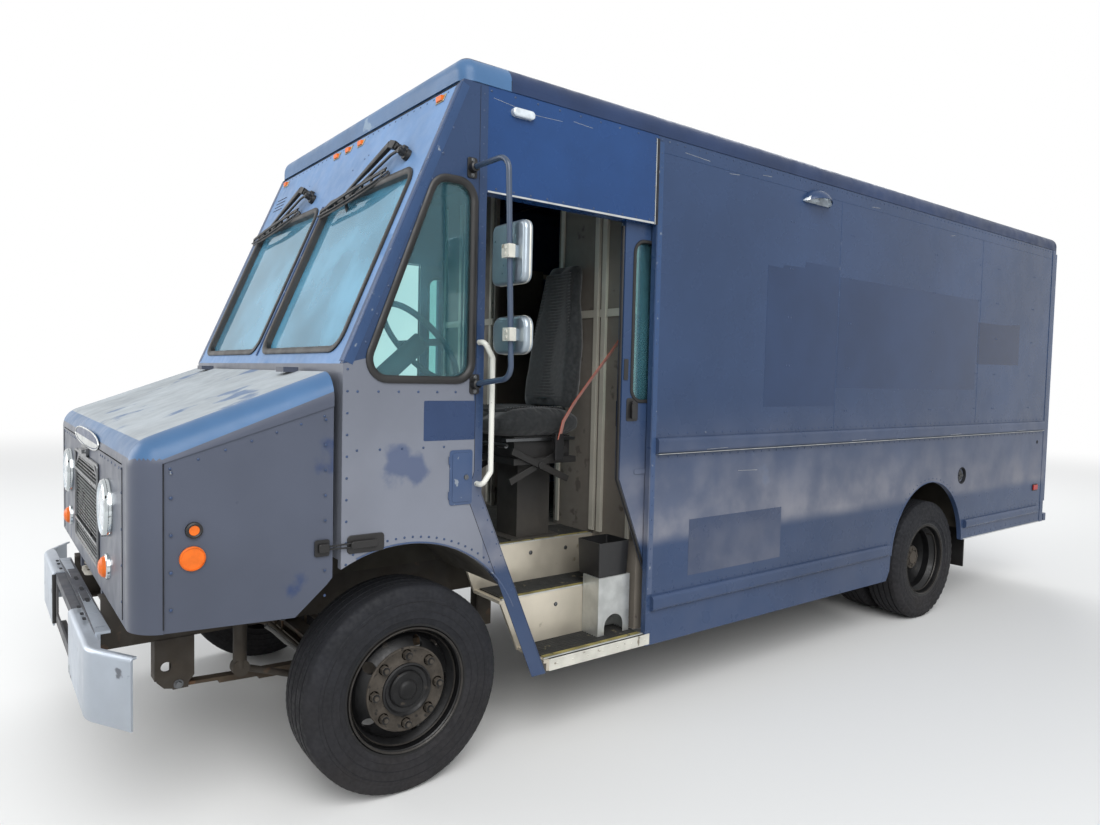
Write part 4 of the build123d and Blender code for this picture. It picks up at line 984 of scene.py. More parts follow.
def on_front(x: float, z: float, depth: float) -> Vector:
    """A point for outlines drawn as (x, z), at depth along Y from the front axle."""
    return van(x, depth, z)


def corner_rounded(corners: Sequence[Flat], radius: float, grow: float, steps: int = 8) -> list[Flat]:
    """A convex outline moved outwards by grow, with its corners rounded.

    Args:
        corners: the outline's corners, in turn round it.
        radius: radius of the corners before it grows.
        grow: how far the outline moves out.
        steps: divisions of each corner.

    Returns:
        The points in order.
    """
    points = []
    middle = sum((Vector(c) for c in corners), Vector((0, 0))) / len(corners)
    for before, corner, after in zip(
            corners[-1:] + corners[:-1], map(Vector, corners), corners[1:] + corners[:1]):
        into = (Vector(before) - corner).normalized()
        out = (Vector(after) - corner).normalized()
        half = math.acos(max(-1, min(1, into.dot(out)))) / 2
        heart = corner + (into + out).normalized() * (radius / math.sin(half))
        starts = []
        for edge in (into, out):
            normal = Vector((-edge.y, edge.x))
            normal = normal if normal.dot(corner - middle) > 0 else -normal
            starts.append(math.atan2(normal.y, normal.x))
        sweep = (starts[1] - starts[0] + math.pi) % (2 * math.pi) - math.pi
        for step in range(steps + 1):
            angle = starts[0] + sweep * step / steps
            points.append(
                (heart.x + (radius + grow) * math.cos(angle), heart.y + (radius + grow) * math.sin(angle)))
    return points


@dataclass
class Seals:
    """The rubber glazing frames of the windscreens and the cab's side windows, open at their panes."""

    pane_half: float = 0.455
    pane_x: float = 0.505
    pane_low: float = 1.755
    pane_high: float = 2.470
    pane_round: float = 0.070
    side: tuple[Flat, ...] = ((-0.263, 1.630), (0.246, 1.630), (0.246, 2.442), (0.048, 2.442))
    side_round: float = 0.090
    side_inset: float = 0.018

    def build(self) -> None:
        """Build all four frames as one piece that stands for the CAD's."""
        section = ((0.016, 0.0004), (0.016, 0.006), (0.011, 0.0095), (0.002, 0.0100), (-0.008, 0.0075),
                   (-0.0135, 0.001), (-0.0135, -0.040), (-0.0006, -0.040), (-0.0006, 0.0004))
        low, high = ((z - SCREEN_FOOT[1]) / SCREEN_RISE.z for z in (self.pane_low, self.pane_high))
        shape = Shape()
        rings = []
        for grow, out in section:
            outline = rounded_outline(
                (self.pane_x - self.pane_half - grow, low - grow),
                (self.pane_x + self.pane_half + grow, high + grow), self.pane_round + grow, 8)
            foot = van(0, *SCREEN_FOOT)
            rings.append([foot + Vector((x, 0, 0)) + SCREEN_RISE * s + SCREEN_OUT * out for x, s in outline])
        shape.loft(rings, closed=True)
        rings = []
        for grow, out in section:
            outline = corner_rounded(list(self.side), self.side_round, grow - self.side_inset)
            rings.append([van(SIDE_X + out, y, z) for y, z in outline])
        shape.loft(rings, closed=True)
        made = shape.both().piece("window_seals", RUBBER)
        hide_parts("window_rubbers")


@dataclass
class CabSkin:
    """Strips, covers, rivets and bright edges on the cab's sides, the header panels and the screen panel."""

    foot: Flat = (0.636, 0.366)
    arch: Flat = (-0.05, 0.47)
    arch_radius: float = 0.548
    header_rear: float = 1.24
    header_low: float = 2.40
    top: float = 2.818
    cap_joint: float = 0.394
    strip: float = 0.036
    brow_z: float = 2.806
    brow_half: float = 1.03
    brow_rivets: int = 36

    def build(self) -> None:
        """Build every trim piece of the cab's outside."""
        self._rivets()
        self._strips()
        self._cover()
        self._posts()
        self._header()
        self._brow()

    def _rivets(self) -> None:
        """Rivet heads along the cab's edges: (first y, first z, last y, last z, pitch)."""
        rows = ((-0.288, 0.97, -0.288, 1.68, 0.075), (0.268, 1.22, 0.268, 2.78, 0.065),
                (0.272, 1.18, 0.618, 0.40, 0.058), (-0.25, 1.60, 0.24, 1.60, 0.082),
                (-0.25, 1.385, 0.11, 1.385, 0.09), (-0.22, 1.78, 0.13, 2.62, 0.12),
                (0.33, 2.418, 1.19, 2.418, 0.085), (0.30, 2.80, 1.22, 2.80, 0.11),
                (1.222, 2.44, 1.222, 2.78, 0.07))
        shape = side_rivets(rows)
        for y, z in arc(self.arch, self.arch_radius + 0.026, 24, 111.5, 25):
            shape.rivet(van(SIDE_X, y, z), OUTWARD, HEAD)
        shape.both().piece("cab_rivets", RIVET)

    def _strips(self) -> None:
        """The folded strip that frames each doorway's front edge, with its two seams."""
        lean = (self.foot[0] - DOORWAY_Y) / (BEND_Z - self.foot[1])
        outer = [(DOORWAY_Y, self.top - 0.01), (DOORWAY_Y, BEND_Z), self.foot]
        inner = [(self.foot[0] - 0.075, self.foot[1]), (DOORWAY_Y - self.strip - 0.030, BEND_Z - 0.01),
                 (DOORWAY_Y - self.strip, BEND_Z + 0.09), (DOORWAY_Y - self.strip, self.top - 0.01)]
        shape = Shape().prism(outer + inner, ON_LEFT, SIDE_X + HAIR, SIDE_X + 0.0016)
        shape.both().piece("doorway_strips", PAINT, bevel=0.0006)
        seams = Shape()
        seams.tube(flat_path(list(reversed(inner)), ON_LEFT, SIDE_X + 0.0006), 0.0011, 6)
        middle = [(DOORWAY_Y - 0.004, BEND_Z), (DOORWAY_Y - 0.004 + lean * 0.8, BEND_Z - 0.8)]
        seams.tube(flat_path(middle, ON_LEFT, SIDE_X + 0.0014), 0.0008, 6)
        hem = arc(self.arch, self.arch_radius + 0.004, 24, 111, 29)
        edge = Shape().tube(flat_path(hem, ON_LEFT, SIDE_X + 0.0004), 0.0032, 8)
        edge.both().piece("arch_hem", PAINT_EDGE)
        seams.both().piece("doorway_seams", SEAM_AND_SHADE_DARK)

    def _cover(self) -> None:
        """The small hinged cover behind the hood and the repainted rectangle above it."""
        low, high = (0.136, 1.15), (0.240, 1.37)
        shape = Shape().prism(rounded_outline(low, high, 0.012), ON_LEFT, SIDE_X + 0.0003, SIDE_X + 0.0035)
        inset = 0.012
        inner = rounded_outline((low[0] + inset, low[1] + inset), (high[0] - inset, high[1] - inset), 0.008)
        shape.prism(inner, ON_LEFT, SIDE_X + 0.003, SIDE_X + 0.0062)
        for z in (low[1] + 0.04, high[1] - 0.04):
            shape.tube([van(SIDE_X + 0.004, low[0] - 0.002, z - 0.016),
                        van(SIDE_X + 0.004, low[0] - 0.002, z + 0.016)], 0.004, 10)
        shape.piece("side_cover", PAINT_EDGE, bevel=0.0008)
        lock = Shape().spin([(0, 0.0004), (0, 0.011), (0.004, 0.010), (0.005, 0.0004)],
                            van(SIDE_X + 0.006, high[0] - 0.03, (low[1] + high[1]) / 2), OUTWARD, 20)
        lock.piece("side_cover_lock", BRIGHT)
        patch = Shape().prism(rounded_outline((0.02, 1.41), (0.25, 1.566), 0.006), ON_LEFT, SIDE_X + 0.0001,
                              SIDE_X + 0.0005)
        patch.piece("cab_touch_up", REPAINT)

    def _posts(self) -> None:
        """The rounded edges between the screen panel and the sides."""
        shape = Shape()
        low, high = 1.71, self.brow_z
        rings = []
        for z in (low, (low + high) / 2, high):
            corner = on_screen(SIDE_X, z, 0)
            rings.append(
                [corner + Vector((x, 0, 0)) + SCREEN_OUT * out
                 for x, out in ((-0.045, 0.0008), (-0.020, 0.0026), (-0.006, 0.0024), (0.0010, -0.002),
                                (0.0022, -0.012), (0.0006, -0.034), (-0.012, -0.030), (-0.030, -0.010))])
        shape.loft(rings)
        shape.both().piece("screen_post_edges", PAINT_EDGE)

    def _header(self) -> None:
        """Bare lower edge, rear channel and scratches of the panels over the doorways."""
        bare = Shape().prism(
            [(DOORWAY_Y + 0.004, self.header_low + 0.0005),
             (self.header_rear - 0.02, self.header_low + 0.0005),
             (self.header_rear - 0.02, self.header_low + 0.010),
             (DOORWAY_Y + 0.004, self.header_low + 0.007)], ON_LEFT, SIDE_X + HAIR, SIDE_X + 0.0016)
        for path in (((0.31, 2.775), (0.52, 2.752), (0.66, 2.757)), ((0.72, 2.77), (0.83, 2.764))):
            bare.tube(flat_path(path, ON_LEFT, SIDE_X + HAIR), 0.0007, 5)
        rear = self.header_rear
        strip = block_outline(rear - 0.016, self.header_low, rear - 0.012, 2.80)
        bare.prism(strip, ON_LEFT, SIDE_X + HAIR, SIDE_X + 0.0022)
        bare.both().piece("header_bare_edges", BARE_EDGE)
        outline = block_outline(rear - 0.010, self.header_low, rear + 0.006, 2.802)
        channel = Shape().prism(outline, ON_LEFT, SIDE_X + HAIR, SIDE_X + 0.0012)
        channel.tube(flat_path(((self.cap_joint, 2.822), (self.cap_joint, 2.86)), ON_LEFT, SIDE_X + 0.0036),
                     0.0016, 6)
        channel.both().piece("header_channel", SEAM_AND_SHADE_DARK)

    def _brow(self) -> None:
        """Gap, vents, rivets and marker bases over the windscreens, and the trim between them."""
        # The gap under the roof lip and the vents' slots are dark strips: painted shade.
        gap = Shape().tube([on_screen(x, self.brow_z, 0.0006) for x in (-1.05, 1.05)], 0.0028, 6)
        for row in range(4):
            z = 2.60 + 0.022 * row
            gap.tube([on_screen(-0.95, z, 0.0004), on_screen(-0.80, z, 0.0004)], 0.0022, 6)
        gap.piece("brow_gap", SEAM_AND_SHADE_DARK)
        heads = Shape()
        for i in range(self.brow_rivets):
            x = self.brow_half * (2 * i / (self.brow_rivets - 1) - 1)
            heads.rivet(on_screen(x, self.brow_z - 0.018, 0), SCREEN_OUT, 0.0045)
        for x, z in ((0.30, 2.655), (0.335, 2.665), (0.20, 2.62), (-0.45, 2.64), (-0.42, 2.66)):
            heads.rivet(on_screen(x, z, 0), SCREEN_OUT, 0.0045)
        heads.piece("brow_rivets", RIVET)
        bases = Shape()
        for x in (-0.93, -0.15, 0, 0.15, 0.93):
            outline = block_outline(x - 0.032, 2.752, x + 0.032, 2.786)
            corners = flat_path(outline, on_screen, HAIR)
            bases.loft([corners, [c + SCREEN_OUT * 0.004 for c in corners]])
        bases.piece("marker_bases", BRASS, bevel=0.0015)
        post = Shape().beam(on_screen(0, 1.735, 0.003), on_screen(0, 2.47, 0.003), 0.010, 0.008, SCREEN_OUT)
        post.piece("screen_middle_trim", PAINT_EDGE, bevel=0.002)


@dataclass
class Wipers:
    """Two parked wipers, each with an arm, a link, a long blade and a row of claws."""

    pivots: tuple[float, ...] = (0.777, -0.286)
    pivot_z: float = 2.579
    reach: float = 0.42
    blade_left: float = -0.735
    blade_right: float = -0.04
    blade_z: float = 2.414
    blade_rise: float = 0.088

    def build(self) -> None:
        """Build both wipers as two pieces, steel arms and rubber blades, in place of the CAD's."""
        steel = Shape()
        rubber = Shape()
        for x in self.pivots:
            self._arm(steel, x)
            self._blade(steel, rubber, x)
        arms = steel.piece("wiper_arms", WIPER, bevel=0.0012)
        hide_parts("wipers")
        rubber.piece("wiper_blades", RUBBER)

    def _arm(self, shape: Shape, x: float) -> None:
        """The pivot's housing, the tapered arm and its link.

        Args:
            shape: gathers the forms.
            x: the pivot's place across the van.
        """
        pivot = on_screen(x, self.pivot_z, 0)
        profile = [(0, 0.026), (0.018, 0.024), (0.020, 0.016), (0.046, 0.015), (0.050, 0.010)]
        shape.turned(profile, pivot, SCREEN_OUT, 20)
        shape.turned(profile, on_screen(x + 0.055, self.pivot_z - 0.03, 0), SCREEN_OUT, 20)
        shape.beam(on_screen(x - 0.01, self.pivot_z + 0.004, 0.030),
                   on_screen(x + 0.07, self.pivot_z - 0.032, 0.030), 0.030, 0.012, SCREEN_OUT)
        head = on_screen(x - 0.05, self.pivot_z + 0.012, 0.052)
        shape.beam(pivot + SCREEN_OUT * 0.046, head, 0.034, 0.020, SCREEN_OUT)
        end = on_screen(x - self.reach, self.blade_z + 0.05, 0.030)
        rings = []
        for share, wide, deep in (
                (0, 0.034, 0.022), (0.45, 0.026, 0.018), (0.8, 0.018, 0.012), (1, 0.014, 0.010)):
            point = head.lerp(end, share)
            side = (end - head).normalized().cross(SCREEN_OUT)
            rings.append([point + side * (a * wide / 2) + SCREEN_OUT * (b * deep / 2)
                          for a, b in ((1, 0.5), (0.6, 1), (-0.6, 1), (-1, 0.5), (-1, -1), (1, -1))])
        shape.loft(rings)
        link = on_screen(x - self.reach + 0.04, self.blade_z + 0.032, 0.024)
        shape.tube([on_screen(x + 0.055, self.pivot_z - 0.03, 0.044),
                    on_screen(x - 0.02, self.pivot_z - 0.035, 0.042), link], 0.0065, 8)

    def _blade(self, steel: Shape, rubber: Shape, x: float) -> None:
        """The blade's frame, its claws and the rubber.

        Args:
            steel: gathers the frame.
            rubber: gathers the rubber edge.
            x: the pivot's place across the van.
        """
        ends = (x + self.blade_left, x + self.blade_right)
        places = []
        for i in range(25):
            share = i / 24
            z = self.blade_z + self.blade_rise * share - 0.012 * math.sin(math.pi * share)
            places.append((ends[0] + (ends[1] - ends[0]) * share, z))
        rubber.tube([on_screen(px, z - 0.014, 0.010) for px, z in places], 0.006, 6, flat=0.5)
        steel.tube([on_screen(px, z - 0.010, 0.019) for px, z in places], 0.0045, 6)
        for rise, wide in ((0.004, 0.0055), (0.014, 0.0045)):
            bow = [on_screen(px, z + rise, 0.020 + 0.014 * math.sin(math.pi * i / 24))
                   for i, (px, z) in enumerate(places)]
            steel.tube(bow[1:-1], wide, 6)
        for i in range(1, 24, 3):
            px, z = places[i]
            steel.beam(
                on_screen(px, z - 0.014, 0.018), on_screen(px, z + 0.012, 0.024), 0.012, 0.008, SCREEN_OUT)


@dataclass
class Mirrors:
    """Glass, rims, clamps and foot brackets of the outside mirrors."""

    x: float = 1.30
    top: Point = (1.30, 0.234, 2.49)
    low: Point = (1.30, 0.264, 1.66)
    inner: float = 0.16
    outer: float = 0.068
    heads: tuple[tuple[float, float, float], ...] = ((2.135, 0.235, 0.035), (1.825, 0.145, 0.045))

    def build(self) -> None:
        """Build the mirrors' trim on both sides."""
        rims = Shape()
        glass = Shape()
        clamps = Shape()
        for z, high, corner in self.heads:
            y = self._tube_y(z)
            low = (self.x - self.inner, z - high / 2)
            top = (self.x + self.outer, z + high / 2)
            edge = 0.003
            outline = rounded_outline(
                (low[0] + edge, low[1] + edge), (top[0] - edge, top[1] - edge), corner, 6)
            rims.tube(flat_path(outline, on_front, y + 0.046), 0.005, 8, closed=True)
            inset = 0.010
            pane = rounded_outline(
                (low[0] + inset, low[1] + inset), (top[0] - inset, top[1] - inset), corner - 0.006, 6)
            glass.prism(pane, on_front, y + 0.0551, y + 0.0562)
            for rise in (0.011, -0.011):
                clamps.bolt(van(self.x, y - 0.0172, z + rise), AHEAD, 0.008, 0.006)
            clamps.beam(
                van(self.x - 0.024, y - 0.006, z), van(self.x + 0.024, y - 0.006, z), 0.030, 0.050, UPWARD)
        rims.both().piece("mirror_rims", PALE_RIM)
        glass.both().piece("mirror_glass", REFLECTOR)
        clamps.both().piece("mirror_clamps", PALE_RIM, bevel=0.002)
        self._feet()

    def _tube_y(self, z: float) -> float:
        """The tube's place along Y at a height."""
        share = (self.top[2] - z) / (self.top[2] - self.low[2])
        return self.top[1] + (self.low[1] - self.top[1]) * share

    def _feet(self) -> None:
        """Pivot brackets where the tube meets the cab."""
        feet = Shape()
        bolts = Shape()
        for y, z in ((0.215, 2.482), (0.242, 1.632)):
            plate = rounded_outline((y - 0.022, z - 0.040), (y + 0.022, z + 0.040), 0.010)
            feet.prism(plate, ON_LEFT, SIDE_X + 0.0005, SIDE_X + 0.006)
            feet.spin([(0.004, 0.0115), (0.004, 0.021), (0.030, 0.019), (0.034, 0.0115)], van(SIDE_X, y, z),
                      OUTWARD, 20)
            for rise in (-0.028, 0.028):
                bolts.bolt(van(SIDE_X + 0.006, y, z + rise), OUTWARD, 0.007, 0.005)
        feet.both().piece("mirror_feet", WIPER, bevel=0.001)
        bolts.both().piece("mirror_foot_bolts", BRIGHT)


def side_rivets(rows: Iterable[Row], depth: float = SIDE_X, radius: float = HEAD) -> Shape:
    """Rivet heads in rows on the driver's side.

    Args:
        rows: (first y, first z, last y, last z, pitch) of each row.
        depth: where the surface lies along X.
        radius: the heads' radius.

    Returns:
        The rivets' shape.
    """
    shape = Shape()
    for y0, z0, y1, z1, pitch in rows:
        shape.rivets(van(depth, y0, z0), van(depth, y1, z1), pitch, OUTWARD, radius)
    return shape


def side_sheets(outlines: Iterable[Sequence[Flat]], depth: float, thick: float) -> Shape:
    """Thin sheets lying on the driver's side.

    Args:
        outlines: each sheet's (y, z) points.
        depth: where the surface lies along X.
        thick: how far the sheets stand out.

    Returns:
        The sheets' shape.
    """
    shape = Shape()
    for outline in outlines:
        shape.prism(outline, ON_LEFT, depth + 0.0001, depth + thick)
    return shape


def block_outline(y0: float, z0: float, y1: float, z1: float) -> list[Flat]:
    """The corners of a rectangle in (y, z)."""
    return [(y0, z0), (y1, z0), (y1, z1), (y0, z1)]


@dataclass
class LoadBody:
    """Rivets, seams, trims, repainted patches and fittings on the load space's sides and roof edge."""

    front: float = 1.275
    belt: Flat = (1.305, 1.385)
    belt_end: float = 5.853
    rail_out: float = 0.024
    arch: Flat = (3.995, 0.495)
    arch_radius: float = 0.492
    filler: Flat = (4.453, 1.008)
    filler_radius: float = 0.056
    vent: Flat = (5.77, 1.21)
    marker_low: Flat = (5.716, 0.800)
    marker_high: Flat = (5.816, 0.858)
    posts: tuple[float, ...] = (2.30, 2.90, 3.93, 4.60, 4.90, 5.55)

    def build(self) -> None:
        """Build every piece on the load space's outside."""
        self._rivets()
        self._trims()
        self._patches()
        self._filler()
        self._marker()

    def _rivets(self) -> None:
        """Rows along the rails, the flange, the roof seam and the rear corner, and pairs at the posts."""
        rows = [(1.30, 1.402, 5.87, 1.402, 0.066), (1.30, 1.288, 5.87, 1.288, 0.066),
                (1.30, 0.627, 3.44, 0.627, 0.066), (4.53, 0.690, 5.80, 0.690, 0.066),
                (4.52, 0.556, 5.97, 0.556, 0.09), (1.26, 2.80, 5.95, 2.80, 0.052),
                (5.905, 0.72, 5.905, 2.76, 0.06), (5.966, 0.72, 5.966, 2.76, 0.06),
                (1.262, 0.70, 1.262, 1.27, 0.07), (1.262, 1.42, 1.262, 2.74, 0.07)]
        shape = side_rivets(rows)
        for y in self.posts:
            for z in (1.50, 1.76, 2.03, 2.30, 2.56):
                for shift in (-0.012, 0.012):
                    shape.rivet(van(SIDE_X, y + shift, z), OUTWARD, 0.0055)
        for y, z in arc(self.arch, self.arch_radius + 0.026, 8, 172, 27):
            shape.rivet(van(SIDE_X, y, z), OUTWARD, HEAD)
        shape.both().piece("load_rivets", RIVET)

    def _trims(self) -> None:
        """Bare edges, the seam below the roof, the arch's hem and the rear corner's trim."""
        bare = Shape()
        low = self.belt[0]
        out = SIDE_X + self.rail_out
        bare.box(van(out - 0.0205, self.front + 0.004, low - 0.0012),
                 van(out - 0.003, self.belt_end - 0.004, low + 0.0014))
        bare.box(van(SIDE_X, 4.515, 0.5262), van(SIDE_X + 0.0016, 5.97, 0.5325))
        for y in (1.62, 2.94, 4.2, 5.3):
            bare.tube([van(out + HAIR, y, low + 0.012), van(out + HAIR, y + 0.16, low + 0.016)], 0.0008, 5)
        bare.both().piece("rail_bare_edges", BARE_EDGE)
        seam = Shape()
        seam.tube([van(SIDE_X + 0.0004, self.front, 2.744), van(SIDE_X + 0.0004, 5.885, 2.744)], 0.0014, 6)
        for y in (2.775, 4.62):
            seam.tube([van(SIDE_X + 0.0003, y, 1.39), van(SIDE_X + 0.0003, y, 2.742)], 0.0010, 6)
        seam.both().piece("load_seams", PAINT_EDGE)
        trim = side_sheets([block_outline(5.886, 0.70, 5.978, 2.79),
                            block_outline(1.246, 0.62, 1.276, 2.79)], SIDE_X, 0.0012)
        hem = flat_path(arc(self.arch, self.arch_radius + 0.003, 4, 176, 48), ON_LEFT, SIDE_X + 0.0004)
        trim.tube(hem, 0.0034, 8)
        trim.both().piece("load_trims", PAINT_EDGE)

    def _patches(self) -> None:
        """Rectangles repainted in a slightly different blue, and scratches below the roof edge."""
        stepped = [(2.095, 1.53), (2.775, 1.53), (2.775, 2.353), (2.434, 2.352), (2.43, 2.318),
                   (2.232, 2.314), (2.228, 2.296), (2.095, 2.30)]
        outlines = [stepped, block_outline(2.785, 1.64, 4.58, 2.30), block_outline(1.53, 0.675, 2.29, 0.962)]
        side_sheets(outlines, SIDE_X, 0.0005).piece("load_patches", PATCH)
        dark = [(4.60, 1.83), (5.32, 1.84), (5.315, 2.16), (5.03, 2.14), (4.60, 2.14)]
        side_sheets([dark], SIDE_X, 0.0004).piece("load_touch_ups", PATCH_DARK)
        scratches = Shape()
        for y0, z0, y1, z1 in (
                (1.42, 2.771, 1.60, 2.763), (1.75, 2.729, 1.83, 2.735), (2.02, 2.768, 2.10, 2.772),
                (3.10, 2.760, 3.19, 2.766), (4.12, 2.712, 4.17, 2.722), (1.90, 1.19, 2.06, 1.185)):
            scratches.tube([van(SIDE_X + HAIR, y0, z0), van(SIDE_X + HAIR, y1, z1)], 0.0009, 5)
        scratches.piece("load_scratches", BARE_EDGE)

    def _filler(self) -> None:
        """The fuel filler's cup, its cap and the round vent hole near the tail."""
        centre = van(SIDE_X, *self.filler)
        edge = self.filler_radius
        cup = [(0.001, edge + 0.006), (0.003, edge + 0.004), (0.002, edge - 0.001), (-0.036, edge - 0.006),
               (-0.036, CORE), (-0.038, CORE), (-0.038, edge - 0.003), (-0.001, edge - HAIR),
               (-0.0005, edge + 0.006)]
        Shape().spin(cup, centre, OUTWARD, 40).piece("filler_cup", SEAM_AND_SHADE_DARK)
        cap = Shape().spin([(-0.035, CORE), (-0.035, 0.040), (-0.016, 0.039), (-0.012, 0.034),
                            (-0.011, CORE)], centre, OUTWARD, 32)
        cap.beam(centre + Vector((-0.008, -0.028, 0)), centre + Vector((-0.008, 0.028, 0)), 0.012, 0.012,
                 OUTWARD)
        cap.piece("filler_cap", BIN, bevel=0.002)
        # The vent hole is a dark disc: painted shade for the opening.
        hole = Shape().spin([(0.0004, CORE), (0.0012, 0.011), (0.0018, 0.014), (0.0002, 0.015)],
                            van(SIDE_X, *self.vent), OUTWARD, 20)
        hole.piece("vent_hole", SEAM_AND_SHADE_DARK)

    def _marker(self) -> None:
        """The red marker's rubber base and its two screws, on both sides."""
        base = Shape()
        screws = Shape()
        base.prism(rounded_outline(self.marker_low, self.marker_high, 0.012), ON_LEFT, SIDE_X + HAIR,
                   SIDE_X + 0.003)
        middle = (self.marker_low[1] + self.marker_high[1]) / 2
        for y in (self.marker_low[0] + 0.0055, self.marker_high[0] - 0.0055):
            screws.bolt(van(SIDE_X + 0.003, y, middle), OUTWARD, 0.0035, 0.002)
        base.both().piece("tail_marker_base", RUBBER)
        screws.both().piece("tail_marker_screws", BRIGHT)


@dataclass
class RoofSkin:
    """Cross seams and rivets of the roof."""

    top: float = 2.925
    half: float = 0.985
    seams: tuple[float, ...] = (1.62, 2.84, 4.06, 5.28)

    def build(self) -> None:
        """Build the roof's seams."""
        cover = Shape()
        heads = Shape()
        for y in self.seams:
            cover.box(van(-self.half, y - 0.03, self.top), van(self.half, y + 0.03, self.top + 0.0012))
            for shift in (-0.020, 0.020):
                heads.rivets(van(-self.half + 0.02, y + shift, self.top + 0.001),
                             van(self.half - 0.02, y + shift, self.top + 0.001), 0.075, UPWARD, 0.005)
        cover.piece("roof_seams", ROOF, bevel=0.0005)
        heads.piece("roof_rivets", ROOF)


@dataclass
class RearSkin:
    """Trims of the roll-up door, its latch, the step's tread, and the rear frame's rings and rivets."""

    face: float = 5.95
    half: float = 0.94
    low: float = 0.85
    slats: int = 9
    high: float = 2.60
    step_top: float = 0.587
    step_front: float = 5.994
    bars: int = 44
    bar_span: float = 0.88
    frame_y: float = 5.9805
    latch_z: float = 1.06

    def build(self) -> None:
        """Build the back's trims."""
        self._slats()
        self._latch()
        self._tread()
        self._frame()

    def _slats(self) -> None:
        """Ribs and rivets on the roll-up door's slats, and the door's seals."""
        rib = Shape()
        heads = Shape()
        pitch = (self.high - self.low) / self.slats
        for row in range(self.slats):
            z = self.low + pitch * (row + 0.5)
            rib.box(van(-self.half + 0.03, self.face, z - 0.010),
                    van(self.half - 0.03, self.face + 0.004, z + 0.010))
            for x in (-0.86, -0.43, 0.43, 0.86):
                heads.rivet(van(x, self.face + 0.001, z + 0.035), BACKWARD, 0.005)
                heads.rivet(van(x, self.face + 0.001, z - 0.035), BACKWARD, 0.005)
        rib.piece("door_ribs", PAINT_EDGE, bevel=0.0015)
        heads.piece("door_rivets", RIVET)
        seal = Shape()
        for x in (-self.half + 0.006, self.half - 0.006):
            seal.box(
                van(x - 0.008, self.face + 0.001, self.low), van(x + 0.008, self.face + 0.012, self.high))
        seal.box(van(-self.half, self.face - 0.002, self.low - 0.002),
                 van(self.half, self.face + 0.010, self.low + 0.020))
        seal.piece("door_seals", RUBBER, bevel=0.003)

    def _latch(self) -> None:
        """The roll-up door's latch plate with its handle and bolts."""
        latch = Shape()
        z = self.latch_z
        latch.prism(rounded_outline((-0.10, z - 0.04), (0.10, z + 0.04), 0.012), on_front,
                    self.face + 0.0005, self.face + 0.007)
        latch.beam(van(-0.07, self.face + 0.018, z), van(0.07, self.face + 0.018, z), 0.022, 0.010, UPWARD)
        for x in (-0.085, 0.085):
            latch.bolt(van(x, self.face + 0.007, z), BACKWARD, 0.008, 0.005)
        latch.turned([(0.0, 0.016), (0.016, 0.014)], van(0, self.face + 0.004, z), BACKWARD, 20)
        latch.piece("door_latch", BRIGHT, bevel=0.0015)

    def _tread(self) -> None:
        """Raised bars in a crossed pattern on the rear step."""
        tread = Shape()
        for row in range(3):
            for i in range(self.bars):
                x = self.bar_span * (2 * i / (self.bars - 1) - 1)
                y = self.step_front + 0.021 * row
                turn = 0.008 if (i + row) % 2 else -0.008
                tread.beam(van(x - 0.009, y - turn * 0.7, self.step_top + 0.0008),
                           van(x + 0.009, y + turn * 0.7, self.step_top + 0.0008), 0.004, 0.0022, UPWARD)
        tread.piece("step_tread", SILVER)

    def _frame(self) -> None:
        """The lamps' rubber rings and the rivets of the rear frame."""
        rings = Shape()
        for side in (1, -1):
            for x, z, radius in ((0.95, 0.64, 0.050), (0.95, 0.74, 0.050), (0.90, 2.70, 0.030)):
                ring = [(0.0, radius + 0.006), (0.012, radius + 0.005), (0.016, radius - 0.001),
                        (0.0, radius - 0.002)]
                rings.spin(ring, van(side * x, self.frame_y + 0.0005, z), BACKWARD, 28)
        rings.piece("rear_lamp_rings", RUBBER)
        heads = Shape()
        for x in (-0.985, 0.985):
            heads.rivets(van(x, self.frame_y, 0.92), van(x, self.frame_y, 2.60), 0.075, BACKWARD, 0.005)
        heads.rivets(van(-0.96, self.frame_y, 2.635), van(0.96, self.frame_y, 2.635), 0.08, BACKWARD, 0.005)
        heads.piece("rear_rivets", RIVET)


